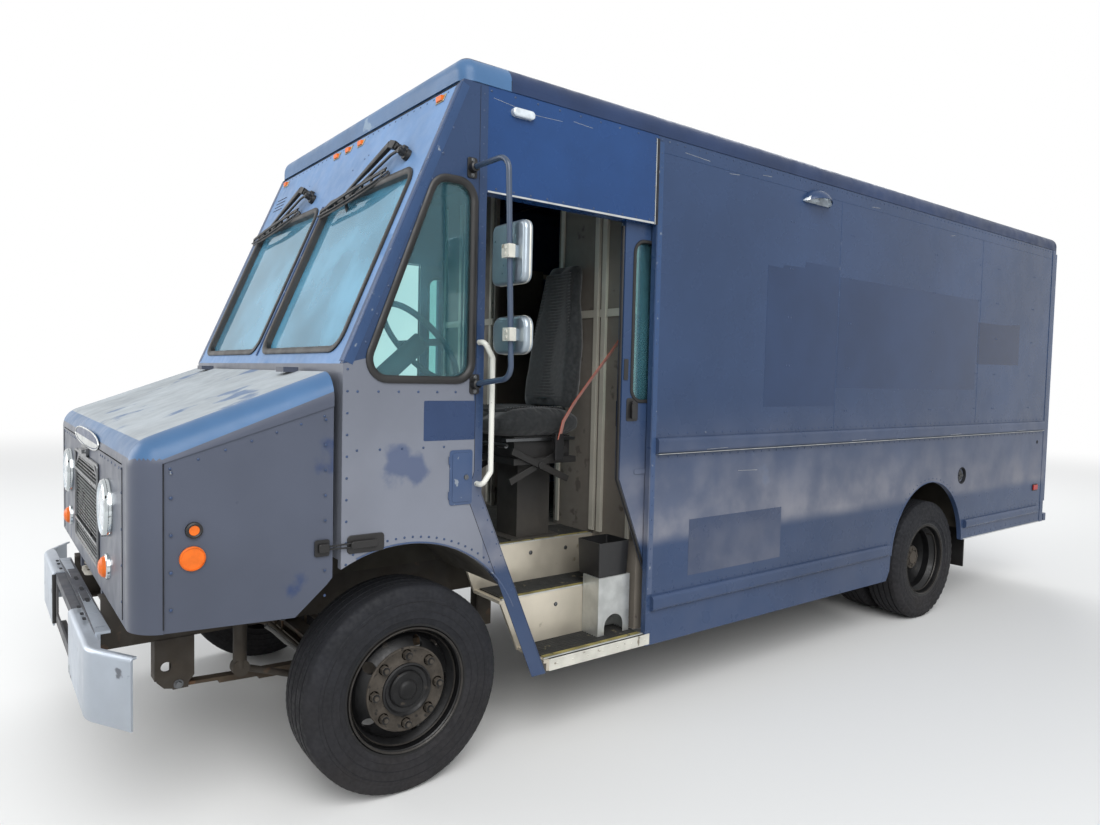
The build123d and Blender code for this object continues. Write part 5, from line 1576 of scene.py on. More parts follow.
@dataclass
class HoodTrim:
    """Seams, rivets, lamps, plate, latch and side lamps that ride on the hood."""

    nose_y: float = -0.980
    tail_y: float = -0.336
    crease: float = 1.37
    seam_y: float = -0.89
    lamp: Flat = (0.600, 1.170)
    signal: Flat = (0.590, 0.955)
    lens: float = 0.089
    lens_rise: float = 0.029
    screw_circle: float = 0.0985
    flute_gap: float = 0.0125
    marker: Flat = (-0.800, 1.150)
    reflector: Flat = (-0.804, 1.058)
    strap_y: float = -0.405

    def build(self) -> None:
        """Build the hood's trim."""
        self._seams()
        self._plate()
        self._lamps()
        self._side_lamps()
        self._latches()

    def _seams(self) -> None:
        """The casting seams round the nose and their rivets."""
        seam = Shape()
        heads = Shape()
        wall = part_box("hood")[1].x
        seam.tube(
            [van(wall + HAIR, self.seam_y, 0.84), van(wall + HAIR, self.seam_y, self.crease)], 0.0022, 6)
        seam.tube([van(0.905, self.nose_y - HAIR, 0.845), van(0.905, self.nose_y - HAIR, 1.345)], 0.0022, 6)
        seam.tube(
            [van(-0.895, self.nose_y - 0.0003, 1.355), van(0.895, self.nose_y - 0.0003, 1.355)], 0.0020, 6)
        seam.both().piece("hood_seams", SEAM_AND_SHADE_DARK, "hood")
        for z in (0.90, 1.02, 1.14, 1.26, 1.34):
            heads.rivet(van(0.885, self.nose_y, z), AHEAD, 0.0055)
            heads.rivet(van(wall, self.seam_y + 0.022, z), OUTWARD, 0.0055)
        for x in (0.41, 0.46, 0.52, 0.60, 0.68, 0.76, 0.84):
            heads.rivet(van(x, self.nose_y, 1.338), AHEAD, 0.0055)
        heads.rivets(
            van(wall, self.tail_y - 0.03, 0.87), van(wall, self.tail_y - 0.03, 1.50), 0.085, OUTWARD, HEAD)
        heads.rivets(
            van(wall - 0.004, -0.87, 1.352), van(wall - 0.004, -0.37, 1.512), 0.085, OUTWARD, 0.0048)
        heads.both().piece("hood_rivets", RIVET, "hood")

    def _plate(self) -> None:
        """The oval plate over the grille with its rim, the grille's frame and the mesh behind it."""
        plate = Shape()
        width, height, middle = 0.375, 0.036, 1.372
        outline = [(width * squared(math.cos(a), 0.7), middle + height * math.sin(a)) for a in turns(48)]
        y = self.nose_y
        plate.prism(outline, on_front, y - 0.0005, y - 0.0032)
        plate.piece("nose_plate", REPAINT, "hood", bevel=0.001)
        rim = Shape().tube(flat_path(outline, on_front, y - 0.003), 0.0028, 6, closed=True)
        lower = (math.pi + math.pi * k / 20 for k in range(21))
        half = [(width * 0.94 * math.cos(a), middle - 0.002 + (height - 0.007) * math.sin(a)) for a in lower]
        rim.prism(half, on_front, y - 0.0032, y - 0.0037)
        rim.piece("nose_plate_rim", BARE_EDGE, "hood")
        frame_edge = Shape()
        opening = rounded_outline((-0.362, 0.903), (0.362, 1.292), 0.012, 4)
        frame_edge.tube(flat_path(opening, on_front, y - 0.004), 0.006, 8, closed=True)
        for z in (0.985, 1.21):
            frame_edge.beam(van(-0.357, y - 0.006, z), van(0.357, y - 0.006, z), 0.006, 0.012, UPWARD)
        frame_edge.piece("grille_frame", BRIGHT, "hood")
        mesh = Shape()
        for x in (0.18 + 0.0125 * i for i in range(30)):
            mesh.beam(van(x, y + 0.0345, 0.975), van(x, y + 0.0345, 1.105), 0.003, 0.002, BACKWARD)
        for z in (0.975 + 0.013 * i for i in range(11)):
            mesh.beam(van(0.178, y + 0.0365, z), van(0.352, y + 0.0365, z), 0.003, 0.002, BACKWARD)
        mesh.verts = [Vector((min(v.x, 0.353), v.y, v.z)) for v in mesh.verts]
        mesh.piece("grille_mesh", PALE_RIM, "hood")

    def _lamps(self) -> None:
        """Chrome rings, lens flutes and screws of the headlamps, and the signals' rings."""
        ring = Shape()
        flutes = Shape()
        bolts = Shape()
        x0, z0 = self.lamp
        face = self.nose_y - 0.004
        rim = [(0.0, 0.104), (0.012, 0.1025), (0.019, 0.097), (0.017, 0.090), (0.006, 0.088), (0.0, 0.088)]
        ring.spin(rim, van(x0, face, z0), AHEAD, 56)
        ball = (self.lens ** 2 + self.lens_rise ** 2) / (2 * self.lens_rise)
        for i in range(-6, 7):
            x = self.flute_gap * i
            reach = math.sqrt(max(0.0, (self.lens - 0.006) ** 2 - x * x))
            path = []
            for k in range(9):
                z = -reach + 2 * reach * k / 8
                rise = math.sqrt(ball ** 2 - x * x - z * z) - (ball - self.lens_rise)
                path.append(van(x0 + x, self.nose_y - rise - HAIR, z0 + z))
            flutes.tube(path, 0.0012, 5)
        for angle in (30, 150, 270):
            x, z = self.screw_circle * math.cos(
                math.radians(angle)), self.screw_circle * math.sin(math.radians(angle))
            bolts.bolt(van(x0 + x, face - 0.016, z0 + z), AHEAD, 0.0042, 0.003)
        x1, z1 = self.signal
        ring.spin([(0.0, 0.047), (0.008, 0.046), (0.012, 0.041), (0.0, 0.0405)], van(x1, self.nose_y, z1),
                  AHEAD, 36)
        ring.both().piece("lamp_rings", CHROME, "hood")
        flutes.both().piece("lens_flutes", CLEAR_LAMP, "hood")
        bolts.both().piece("lamp_screws", WIPER, "hood")

    def _side_lamps(self) -> None:
        """Rubber ring of the round marker and the amber rim of the reflector."""
        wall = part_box("hood")[1].x
        base = wall - 0.004
        black = Shape().spin([(0.0, 0.027), (0.010, 0.026), (0.013, 0.021), (0.011, 0.0165), (0.0, 0.0162)],
                             van(base, *self.marker), OUTWARD, 32)
        black.both().piece("side_marker_rings", RUBBER, "hood")
        rim = Shape().spin([(0.0, 0.040), (0.007, 0.0395), (0.0095, 0.0365), (0.0, 0.0362)],
                           van(base, *self.reflector), OUTWARD, 40)
        rim.both().piece("side_reflector_rims", AMBER, "hood")

    def _latches(self) -> None:
        """The nose's safety catch and the rubber straps on the hood's sides."""
        y = self.nose_y
        catch = Shape()
        catch.prism(rounded_outline((-0.075, 1.298), (0.075, 1.338), 0.008), on_front, y - 0.0005, y - 0.012)
        catch.beam(van(-0.05, y - 0.018, 1.318), van(0.05, y - 0.018, 1.318), 0.014, 0.016, UPWARD)
        for x in (-0.062, 0.062):
            catch.bolt(van(x, y - 0.012, 1.318), AHEAD, 0.006, 0.004)
        catch.piece("hood_catch", BRIGHT, "hood", bevel=0.0015)
        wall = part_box("hood")[1].x
        base = Shape()
        strap = Shape()
        y = self.strap_y
        base.prism(
            rounded_outline((y, 1.012), (y + 0.055, 1.072), 0.008), ON_LEFT, wall + HAIR, wall + 0.004)
        strap.prism(rounded_outline((y + 0.012, 1.026), (y + 0.052, 1.058), 0.008), ON_LEFT, wall + 0.004,
                    wall + 0.016)
        base.both().piece("hood_strap_bases", WIPER, "hood", bevel=0.001)
        strap.both().piece("hood_strap_ends", RUBBER, "hood", bevel=0.003)
        hooks = Shape()
        holder = Shape()
        holder.prism(rounded_outline((-0.285, 1.008), (-0.14, 1.076), 0.014), ON_LEFT, SIDE_X + 0.0003,
                     SIDE_X + 0.006)
        holder.prism(rounded_outline((-0.275, 1.028), (-0.17, 1.056), 0.012), ON_LEFT, SIDE_X + 0.006,
                     SIDE_X + 0.020)
        holder.both().piece("hood_strap_holders", RUBBER, bevel=0.003)
        for rise in (-0.008, 0.008):
            hooks.tube([van(SIDE_X + 0.012, -0.27, 1.042 + rise),
                        van(SIDE_X + 0.012, -0.352, 1.042 + rise * 0.6)], 0.0032, 8)
        hooks.both().piece("hood_strap_rods", WIPER)


@dataclass
class BumperTrim:
    """Bolts, slots and edge rubber of the front bumper."""

    face: float = -1.07
    bolt: Flat = (0.40, 0.67)
    slots: tuple[float, ...] = (0.342, 0.442, 0.511)
    slot_y: float = -1.047
    rest_slots: tuple[float, ...] = (-0.124, 0.07, 0.259)
    rest_slot_y: float = -1.010
    rubber_x: float = -0.322

    def build(self) -> None:
        """Build the bumper's trim."""
        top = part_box("front_bumper")[1].z
        # The tread's slots are dark patches on its top: painted shade for the openings.
        slots = Shape()
        for x in (side * x for side in (1, -1) for x in self.slots):
            outline = rounded_outline(
                (x - 0.018, self.slot_y - 0.006), (x + 0.018, self.slot_y + 0.006), 0.006)
            slots.prism(outline, van, top - 0.0004, top + 0.0006)
        for x in self.rest_slots:
            low, high = (x - 0.030, self.rest_slot_y - 0.007), (x + 0.030, self.rest_slot_y + 0.007)
            slots.prism(rounded_outline(low, high, 0.007), van, top - 0.0004, top + 0.0010)
        slots.piece("bumper_slots", SEAM_AND_SHADE_DARK)
        bolts = Shape()
        for side in (1, -1):
            bolts.bolt(van(side * self.bolt[0], self.face + HAIR, self.bolt[1]), AHEAD, 0.013, 0.009)
        bolts.piece("bumper_bolts", SILVER)
        edge = Shape().tube(
            [van(self.rubber_x, self.face - 0.004, z) for z in (0.515, 0.62, 0.735)], 0.009, 8, flat=0.6)
        edge.piece("bumper_edge_rubber", RUBBER)


@dataclass
class Wheels:
    """Detailed tyres in place of the CAD's, wheel nuts, rim lips, hubs and valves."""

    radius: float = 0.419
    bead: float = 0.2483
    half: float = 0.1225
    front_x: float = 0.900
    twins: tuple[float, float] = (0.905, 0.626)
    twin_centre: float = 0.7655
    nut_circle: float = 0.1375
    nuts: int = 8
    nut_height: float = 0.028
    front_face: float = 0.0915
    rear_face: float = 0.0095
    valve_turn: float = 38

    def build(self) -> None:
        """Build the four wheel sets."""
        for side in Side:
            front = Vector((side.value * self.front_x, AXLE_Y, AXLE_Z))
            self._tyre(f"front_{side.word}", [front], False)
            self._front(side, front)
            outer, inner = (Vector((side.value * x, REAR_AXLE_Y, AXLE_Z)) for x in self.twins)
            self._tyre(f"rear_{side.word}", [outer, inner], True)
            self._rear(side, outer)

    def _section(self, notched: bool) -> list[Flat]:
        """Half of a tyre's section as (x, radius) from the tread's middle to the bead.

        Args:
            notched: whether this step falls in a shoulder notch.

        Returns:
            The points.
        """
        top, half = self.radius, self.half
        crown = [(0.0, 0.0), (0.017, 0.0), (0.018, -0.011), (0.025, -0.011), (0.026, -0.0004),
                 (0.058, -0.0012), (0.059, -0.012), (0.066, -0.012), (0.067, -0.0018), (0.094, -0.004)]
        drop = 0.010 if notched else 0.0
        shoulder = [(0.1035 - drop * 0.4, -0.009 - drop), (0.110 - drop * 0.5, -0.019 - drop * 0.6),
                    (0.1145, -0.034)]
        wall = [(0.1185, -0.050), (0.1178, -0.0525), (0.1200, -0.055), (half - 0.0010, -0.082),
                (half, -0.094), (half - 0.0014, -0.112), (0.1195, -0.128), (0.1200, -0.131),
                (0.1180, -0.133), (0.112, -0.151), (0.1105, -0.160), (0.106, self.bead - top + 0.0006)]
        return [(x, top + fall) for x, fall in crown + shoulder + wall]

    def _tyre(self, name: str, centres: Sequence[Vector], lugs: bool) -> None:
        """One tyre or a pair, as one mesh that stands for the CAD's tyre.

        Args:
            name: end and side of the van.
            centres: the tyres' middles.
            lugs: whether the shoulders are notched.
        """
        shape = Shape()
        steps = 188 if lugs else 180
        for centre in centres:
            rings = []
            for step in range(steps):
                notched = lugs and step % 4 in (0, 1)
                half = self._section(notched)
                fine = 0.0 if lugs else 0.0008 * (step % 2)
                section = [(-x, r - fine) for x, r in reversed(half[1:])] + [(x, r - fine) for x, r in half]
                angle = 2 * math.pi * step / steps
                rings.append(
                    [centre + Vector((x, r * math.sin(angle), r * math.cos(angle))) for x, r in section])
            shape.loft(rings, closed=True)
        made = shape.piece(f"tyre_{name}_tread", TYRE, f"wheel_{name}")
        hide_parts(f"tyre_{name}")
        self._side_rings(name, centres)

    def _side_rings(self, name: str, centres: Sequence[Vector]) -> None:
        """Raised rings on the sidewalls.

        Args:
            name: end and side of the van.
            centres: the tyres' middles.
        """
        shape = Shape()
        for centre in centres:
            for sign in (1, -1):
                for reach, radius in ((0.1212, 0.352), (0.1222, 0.316), (0.1190, 0.2875)):
                    profile = [(reach - 0.002, radius + 0.0025), (reach + 0.0006, radius + 0.0012),
                               (reach + 0.0006, radius - 0.0012), (reach - 0.002, radius - 0.0025)]
                    shape.spin(profile, centre, Vector((sign, 0, 0)), 96)
        shape.piece(f"tyre_{name}_rings", TYRE_SIDE, f"wheel_{name}")

    def _nuts(self, centre: Vector, axis: Vector, start: float) -> Shape:
        """Nuts with their studs on the bolt circle.

        Args:
            centre: where along is 0 on the axle.
            axis: outward direction.
            start: where the nuts sit.

        Returns:
            The nuts' shape.
        """
        shape = Shape()
        reach = self.nut_height
        for angle in turns(self.nuts):
            spot = centre + off_axle(self.nut_circle, angle)
            shape.turned([(start, 0.0215), (start + 0.003, 0.0215)], spot, axis, 20)
            shape.turned([(start + 0.002, 0.0185), (start + reach * 0.8, 0.0185),
                          (start + reach * 0.88, 0.016)], spot, axis, 6)
            shape.spin([(start + reach * 0.8, CORE), (start + reach * 0.8, 0.0095),
                        (start + reach * 1.18, 0.009), (start + reach * 1.2, CORE)], spot, axis, 12)
        return shape

    def _front(self, side: Side, centre: Vector) -> None:
        """A front wheel's nuts, hub ring, hub cap, lip ring and valve.

        Args:
            side: which side.
            centre: the tyre's middle.
        """
        axis = Vector((side.value, 0, 0))
        body = f"wheel_front_{side.word}"
        self._nuts(centre, axis, self.front_face).piece(f"nuts_front_{side.word}", HUB_DUST, body)
        face = self.front_face
        ring = [(face, 0.098), (0.0975, 0.100), (0.0975, 0.106), (0.0945, 0.110), (0.0945, 0.158),
                (0.0975, 0.162), (0.0965, 0.168), (face, 0.169)]
        Shape().spin(ring, centre, axis, 64).piece(f"hub_ring_front_{side.word}", HUB_DUST, body)
        cap = [(0.082, CORE), (0.082, 0.074), (0.102, 0.072), (0.108, 0.066), (0.109, 0.040),
               (0.116, 0.036), (0.1205, 0.026), (0.1225, 0.012), (0.1228, CORE)]
        Shape().spin(cap, centre, axis, 48).piece(f"hub_cap_front_{side.word}", HUB_DARK, body)
        self._lip(f"front_{side.word}", centre, axis, body)

    def _lip(self, name: str, centre: Vector, axis: Vector, body: str) -> None:
        """The rim's edge, its inner step and the valve.

        Args:
            name: end and side.
            centre: the tyre's middle.
            axis: outward direction.
            body: the wheel's body.
        """
        shape = Shape()
        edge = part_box(f"rim_{name}")
        reach = max(abs(edge[0].x), abs(edge[1].x)) - abs(centre.x)
        shape.spin([(reach - 0.012, 0.2488), (reach - 0.001, 0.2484), (reach, 0.2450),
                    (reach - 0.004, 0.2405), (reach - 0.010, 0.2415)], centre, axis, 96)
        shape.spin(
            [(reach - 0.034, 0.2300), (reach - 0.030, 0.2275), (reach - 0.036, 0.2240)], centre, axis, 96)
        shape.piece(f"rim_lip_{name}", RIM_EDGE, body)
        valve = Shape()
        out = off_axle(1, math.radians(self.valve_turn))
        spot = centre + out * 0.205 + axis * (reach - 0.060)
        valve.tube([spot, spot + axis * 0.028 + out * 0.002, spot + axis * 0.050 - out * 0.004],
                   [0.0055, 0.0045, 0.0042], 8)
        valve.piece(f"valve_{name}", RIM_EDGE, body)

    def _rear(self, side: Side, centre: Vector) -> None:
        """A rear wheel's nuts, hub and its flange bolts.

        Args:
            side: which side.
            centre: the outer tyre's middle.
        """
        axis = Vector((side.value, 0, 0))
        body = f"wheel_rear_{side.word}"
        disc = Vector((side.value * self.twin_centre, REAR_AXLE_Y, AXLE_Z))
        self._nuts(disc, axis, self.rear_face).piece(f"nuts_rear_{side.word}", HUB_DUST, body)
        face = self.rear_face
        ring = [(face, 0.100), (0.0140, 0.102), (0.0140, 0.108), (0.0120, 0.111), (0.0120, 0.160),
                (face, 0.166)]
        hub = Shape().spin(ring, disc, axis, 64)
        hub.turned([(0.148, 0.080), (0.152, 0.082), (0.156, 0.080), (0.158, 0.070), (0.160, 0.030)],
                 disc, axis, 48)
        for angle in turns(8):
            hub.bolt(disc + axis * 0.158 + off_axle(0.058, angle), axis, 0.0085, 0.008)
        hub.piece(f"hub_rear_{side.word}", HUB_DUST, body)
        self._lip(f"rear_{side.word}", centre, axis, body)


@dataclass
class DoorTrim:
    """Gaskets, handles, grips, edges and ribs of the sliding doors."""

    high: float = 2.400
    front: float = 1.080
    rear: float = 2.050
    outer: float = 1.032
    thick: float = 0.034
    window: tuple[Flat, Flat] = ((1.140, 1.560), (1.960, 2.320))

    def build(self) -> None:
        """Build the trim of both doors."""
        for side in Side:
            self._gasket(side)
            self._handle(side)
            self._sheet(side)

    def _gasket(self, side: Side) -> None:
        """The window's gaskets and the seal on the leading edge.

        Args:
            side: which side.
        """
        place = on_side(side)
        (y0, z0), (y1, z1) = self.window
        loop = rounded_outline((y0, z0), (y1, z1), 0.06, 6)
        gasket = Shape()
        for depth in (self.outer + 0.001, self.outer - 0.035):
            gasket.tube(flat_path(loop, place, depth), 0.009, 8, closed=True, flat=0.8)
        lean = ((self.front, 2.38), (self.front, BEND_Z), (self.front + 0.32, 0.45))
        gasket.tube([place(y - 0.001, z, self.outer - 0.017) for y, z in lean], 0.009, 8)
        gasket.piece(f"door_gasket_{side.word}", RUBBER, f"door_{side.word}")

    def _handle(self, side: Side) -> None:
        """The outer handle with its lock, and the grip and latch inside.

        Args:
            side: which side.
        """
        place = on_side(side)
        body = f"door_{side.word}"
        axis = Vector((side.value, 0, 0))
        handle = Shape()
        handle.prism(rounded_outline((self.front + 0.030, 1.465), (self.front + 0.105, 1.575), 0.012),
                     place, self.outer + HAIR, self.outer + 0.003)
        handle.beam(place(self.front + 0.066, 1.545, self.outer + 0.012),
                    place(self.front + 0.066, 1.478, self.outer + 0.016), 0.026, 0.010, axis)
        handle.turned([(0.0, 0.012), (0.016, 0.010)], place(self.front + 0.066, 1.552, self.outer), axis, 16)
        handle.prism(rounded_outline((self.front + 0.008, 1.66), (self.front + 0.034, 1.76), 0.006), place,
                     self.outer + HAIR, self.outer + 0.004)
        handle.piece(f"door_handle_{side.word}", BIN, body, bevel=0.0012)
        inner = self.outer - self.thick
        grip = Shape()
        grip.tube(
            [place(self.front + 0.050, 1.60, inner - 0.001), place(self.front + 0.050, 1.60, inner - 0.035),
             place(self.front + 0.050, 1.45, inner - 0.035),
             place(self.front + 0.050, 1.45, inner - 0.001)], 0.008, 10)
        grip.box(
            place(self.front + 0.004, 1.44, inner - 0.010), place(self.front + 0.030, 1.56, inner - 0.0005))
        grip.piece(f"door_grip_{side.word}", WIPER, body, bevel=0.002)

    def _sheet(self, side: Side) -> None:
        """The bare strip along the leading edge and the raised ribs on the outer sheet's lower half.

        Args:
            side: which side.
        """
        place = on_side(side)
        body = f"door_{side.word}"
        inner = self.outer - self.thick
        edge = Shape()
        edge.box(place(self.front - 0.0012, 1.200, inner + 0.004),
                 place(self.front + 0.0001, self.high - 0.004, inner + 0.012))
        edge.piece(f"door_edge_{side.word}", BARE_EDGE, body)
        ribs = Shape()
        for z in (0.62, 0.82, 1.02, 1.22):
            ribs.prism(rounded_outline((self.front + 0.09 + max(0, BEND_Z - z) * DOOR_LEAN, z - 0.012),
                                       (self.rear - 0.08, z + 0.012), 0.010), place, self.outer + HAIR,
                       self.outer + 0.004)
        ribs.piece(f"door_ribs_{side.word}", PAINT, body, bevel=0.0015)


def freeze(made: bpy.types.Object) -> None:
    """Apply an object's modifiers as they stand.

    Args:
        made: the object.
    """
    graph = bpy.context.evaluated_depsgraph_get()
    mesh = bpy.data.meshes.new_from_object(made.evaluated_get(graph))
    made.modifiers.clear()
    made.data = mesh


@dataclass
class Seat:
    """The driver's seat: padded cushion and back with ribbed centres, suspension and belt."""

    cushion: tuple[Point, Point] = ((0.270, 0.620, 1.374), (0.730, 1.110, 1.500))
    middle: float = 0.500
    back_foot: Flat = (1.052, 1.505)
    back_top: Flat = (1.150, 2.258)
    back_sections: tuple[Point, ...] = (
        (0.00, 0.205, 0.060), (0.04, 0.218, 0.078), (0.20, 0.218, 0.086), (0.42, 0.208, 0.086),
        (0.60, 0.180, 0.082), (0.74, 0.146, 0.078), (0.88, 0.130, 0.078), (0.97, 0.122, 0.070),
        (1.00, 0.108, 0.050))
    round_steps: int = 20
    reel: Flat = (0.935, 1.93)
    belt: tuple[Point, ...] = (
        (0.935, 1.185, 1.90), (0.90, 1.13, 1.80), (0.83, 1.06, 1.66), (0.775, 1.00, 1.54),
        (0.758, 0.95, 1.45), (0.752, 0.93, 1.36))
    belt_half: float = 0.024
    voxel: float = 0.008
    pressure: float = 4.0
    moments: int = 18
    cap: float = 0.012

    def build(self) -> None:
        """Build the seat's soft parts and fittings."""
        self._cushion()
        self._back()
        self._suspension()
        self._belt()

    def _soft(self, name: str, rings: Sequence[Sequence[Vector]], node: str, finish: Surface) -> None:
        """A filled cushion from a few rings, blown up as cloth.

        Args:
            name: the object's name.
            rings: the starting shape's sections.
            node: the CAD node that it stands for.
            finish: its surface.
        """
        made = Shape().loft(rings).piece(name, finish)
        skin = made.modifiers.new("skin", "REMESH")
        skin.mode = "VOXEL"
        skin.voxel_size = self.voxel
        soft = made.modifiers.new("soft", "SMOOTH")
        soft.factor = 0.6
        soft.iterations = 6
        freeze(made)
        self._inflate(made)
        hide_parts(node)

    def _inflate(self, made: bpy.types.Object) -> None:
        """Let the cover swell as cloth under pressure, within a cap, then refine it.

        Args:
            made: the cushion.
        """
        before = [v.co.copy() for v in made.data.vertices]
        cloth = made.modifiers.new("cloth", "CLOTH")
        cloth.settings.use_pressure = True
        cloth.settings.uniform_pressure_force = self.pressure
        cloth.settings.effector_weights.gravity = 0
        scene = bpy.context.scene
        for moment in range(1, self.moments + 1):
            scene.frame_set(moment)
        freeze(made)
        scene.frame_set(1)
        for vertex, old in zip(made.data.vertices, before):
            moved = vertex.co - old
            vertex.co = old + moved * min(1, self.cap / max(moved.length, 1e-9))
        fine = made.modifiers.new("fine", "SUBSURF")
        fine.levels = 1
        fine.render_levels = 1
        freeze(made)
        made.data.shade_smooth()

    def _cushion(self) -> None:
        """The seat cushion and its ribbed centre."""
        (_, y0, z0), (_, y1, z1) = self.cushion
        rings = []
        for share in (0.0, 0.06, 0.2, 0.4, 0.6, 0.8, 0.94, 1.0):
            y = van(0, y0 + (y1 - y0) * share, 0).y
            inset = 0.028 * (1 - math.sin(math.pi * min(1, max(0, 0.5 + (share - 0.5) * 0.98)))) ** 2
            lift = 0.020 * math.sin(math.pi * share) - (0.012 if share < 0.1 else 0)
            ring = []
            for angle in turns(self.round_steps):
                cx, cz = math.cos(angle), math.sin(angle)
                px = self.middle + (0.222 - inset) * squared(cx, 0.45)
                hollow = -0.016 * (1 - min(1, abs(px - self.middle) / 0.15) ** 2) if cz > 0 else 0
                pz = (z0 + z1) / 2 + (0.054 - inset * 0.4) * squared(cz, 0.5) + (lift + hollow) * max(0, cz)
                ring.append(Vector((px, y, pz)))
            rings.append(ring)
        self._soft("seat_cushion_pad", rings, "seat_cushion", CLOTH_SIDE)
        centre = Shape()
        for row in range(22):
            y = y0 + 0.07 + (y1 - y0 - 0.14) * row / 21
            rib = [van(self.middle - 0.145 + 0.29 * k / 10, y,
                       z1 + 0.002 + 0.010 * math.sin(math.pi * (y - y0) / (y1 - y0)) - 0.012
                       * (1 - ((k - 5) / 5) ** 2)) for k in range(11)]
            centre.tube(rib, 0.0105, 6, flat=0.7)
        panel = centre.piece("seat_cushion_channels", CLOTH)

    def _spine(self, share: float) -> Flat:
        """The middle of the back's section at a share of its height, as (y, z)."""
        return tuple(low + (high - low) * share for low, high in zip(self.back_foot, self.back_top))

    def _back(self) -> None:
        """The seat back with its head section and its ribbed centre."""
        rings = []
        for share, wide, deep in self.back_sections:
            y, z = self._spine(share)
            ring = []
            for angle in turns(self.round_steps):
                cx, cy = math.cos(angle), math.sin(angle)
                px = self.middle + wide * squared(cx, 0.5)
                hollow = 0.016 * (1 - min(1, abs(px - self.middle) / (wide * 0.7)) ** 2) if cy < 0 else 0
                ring.append(van(px, y + deep * 0.5 * squared(cy, 0.6) + hollow, z))
            rings.append(ring)
        self._soft("seat_back_pad", rings, "seat_back", CLOTH_SIDE)
        channels = Shape()
        for row in range(40):
            share = 0.08 + 0.0215 * row
            wide = 0.150 if share < 0.5 else 0.150 - 0.11 * (share - 0.5)
            y, z = self._spine(share)
            channels.tube(
                [van(self.middle - wide + 2 * wide * k / 8, y - 0.034 - 0.005 * ((k - 4) / 4) ** 2, z)
                 for k in range(9)], 0.0105, 6, flat=0.8)
        channels.piece("seat_back_channels", CLOTH)

    def _suspension(self) -> None:
        """Scissor arms with their pivots, the lever and the slide rails."""
        steel = Shape()
        for x in (0.305, 0.695):
            side = 1 if x > 0.5 else -1
            steel.beam(van(x, 0.68, 1.16), van(x, 1.02, 1.31), 0.014, 0.032, UPWARD)
            steel.beam(
                van(x + side * 0.016, 1.02, 1.16), van(x + side * 0.016, 0.68, 1.31), 0.014, 0.032, UPWARD)
            steel.turned([(-0.02, 0.018), (0.03, 0.018)], van(x, 0.85, 1.235), Vector((side, 0, 0)), 16)
        steel.tube([van(0.52, 0.60, 1.345), van(0.70, 0.59, 1.345), van(0.76, 0.62, 1.345)], 0.007, 8)
        steel.piece("seat_scissor", SEAT_STEEL, bevel=0.002)
        bar = Shape()
        for x in (0.33, 0.67):
            bar.box(van(x - 0.02, 0.66, 1.352), van(x + 0.02, 1.08, 1.368))
        bar.tube([van(0.29, 0.648, 1.336), van(0.71, 0.648, 1.336)], 0.012, 10)
        bar.piece("seat_rails", BRIGHT, bevel=0.002)

    def _belt(self) -> None:
        """The belt from its retractor on the bulkhead over the back to the buckle."""
        x, z = self.reel
        case = rounded_outline((x - 0.035, z - 0.055), (x + 0.035, z + 0.055), 0.012)
        Shape().prism(case, on_front, 1.190, 1.2395).piece("belt_reel", BIN, bevel=0.003)
        path = [van(*point) for point in self.belt]
        rings = []
        for i, point in enumerate(path):
            ahead = (path[min(i + 1, len(path) - 1)] - path[max(i - 1, 0)]).normalized()
            across = Vector((0.55, -0.83, 0)).normalized()
            across = (across - ahead * across.dot(ahead)).normalized()
            out = ahead.cross(across)
            rings.append([point + across * (a * self.belt_half) + out * (b * 0.0011)
                          for a, b in ((1, 1), (-1, 1), (-1, -1), (1, -1))])
        web = Shape().loft(rings)
        web.piece("belt_webbing", BELT)
        sleeve = Shape().beam(
            path[-1] + Vector((0, 0, 0.03)), path[-1] - Vector((0, 0, 0.10)), 0.052, 0.016, OUTWARD)
        sleeve.piece("belt_sleeve", BIN, bevel=0.003)


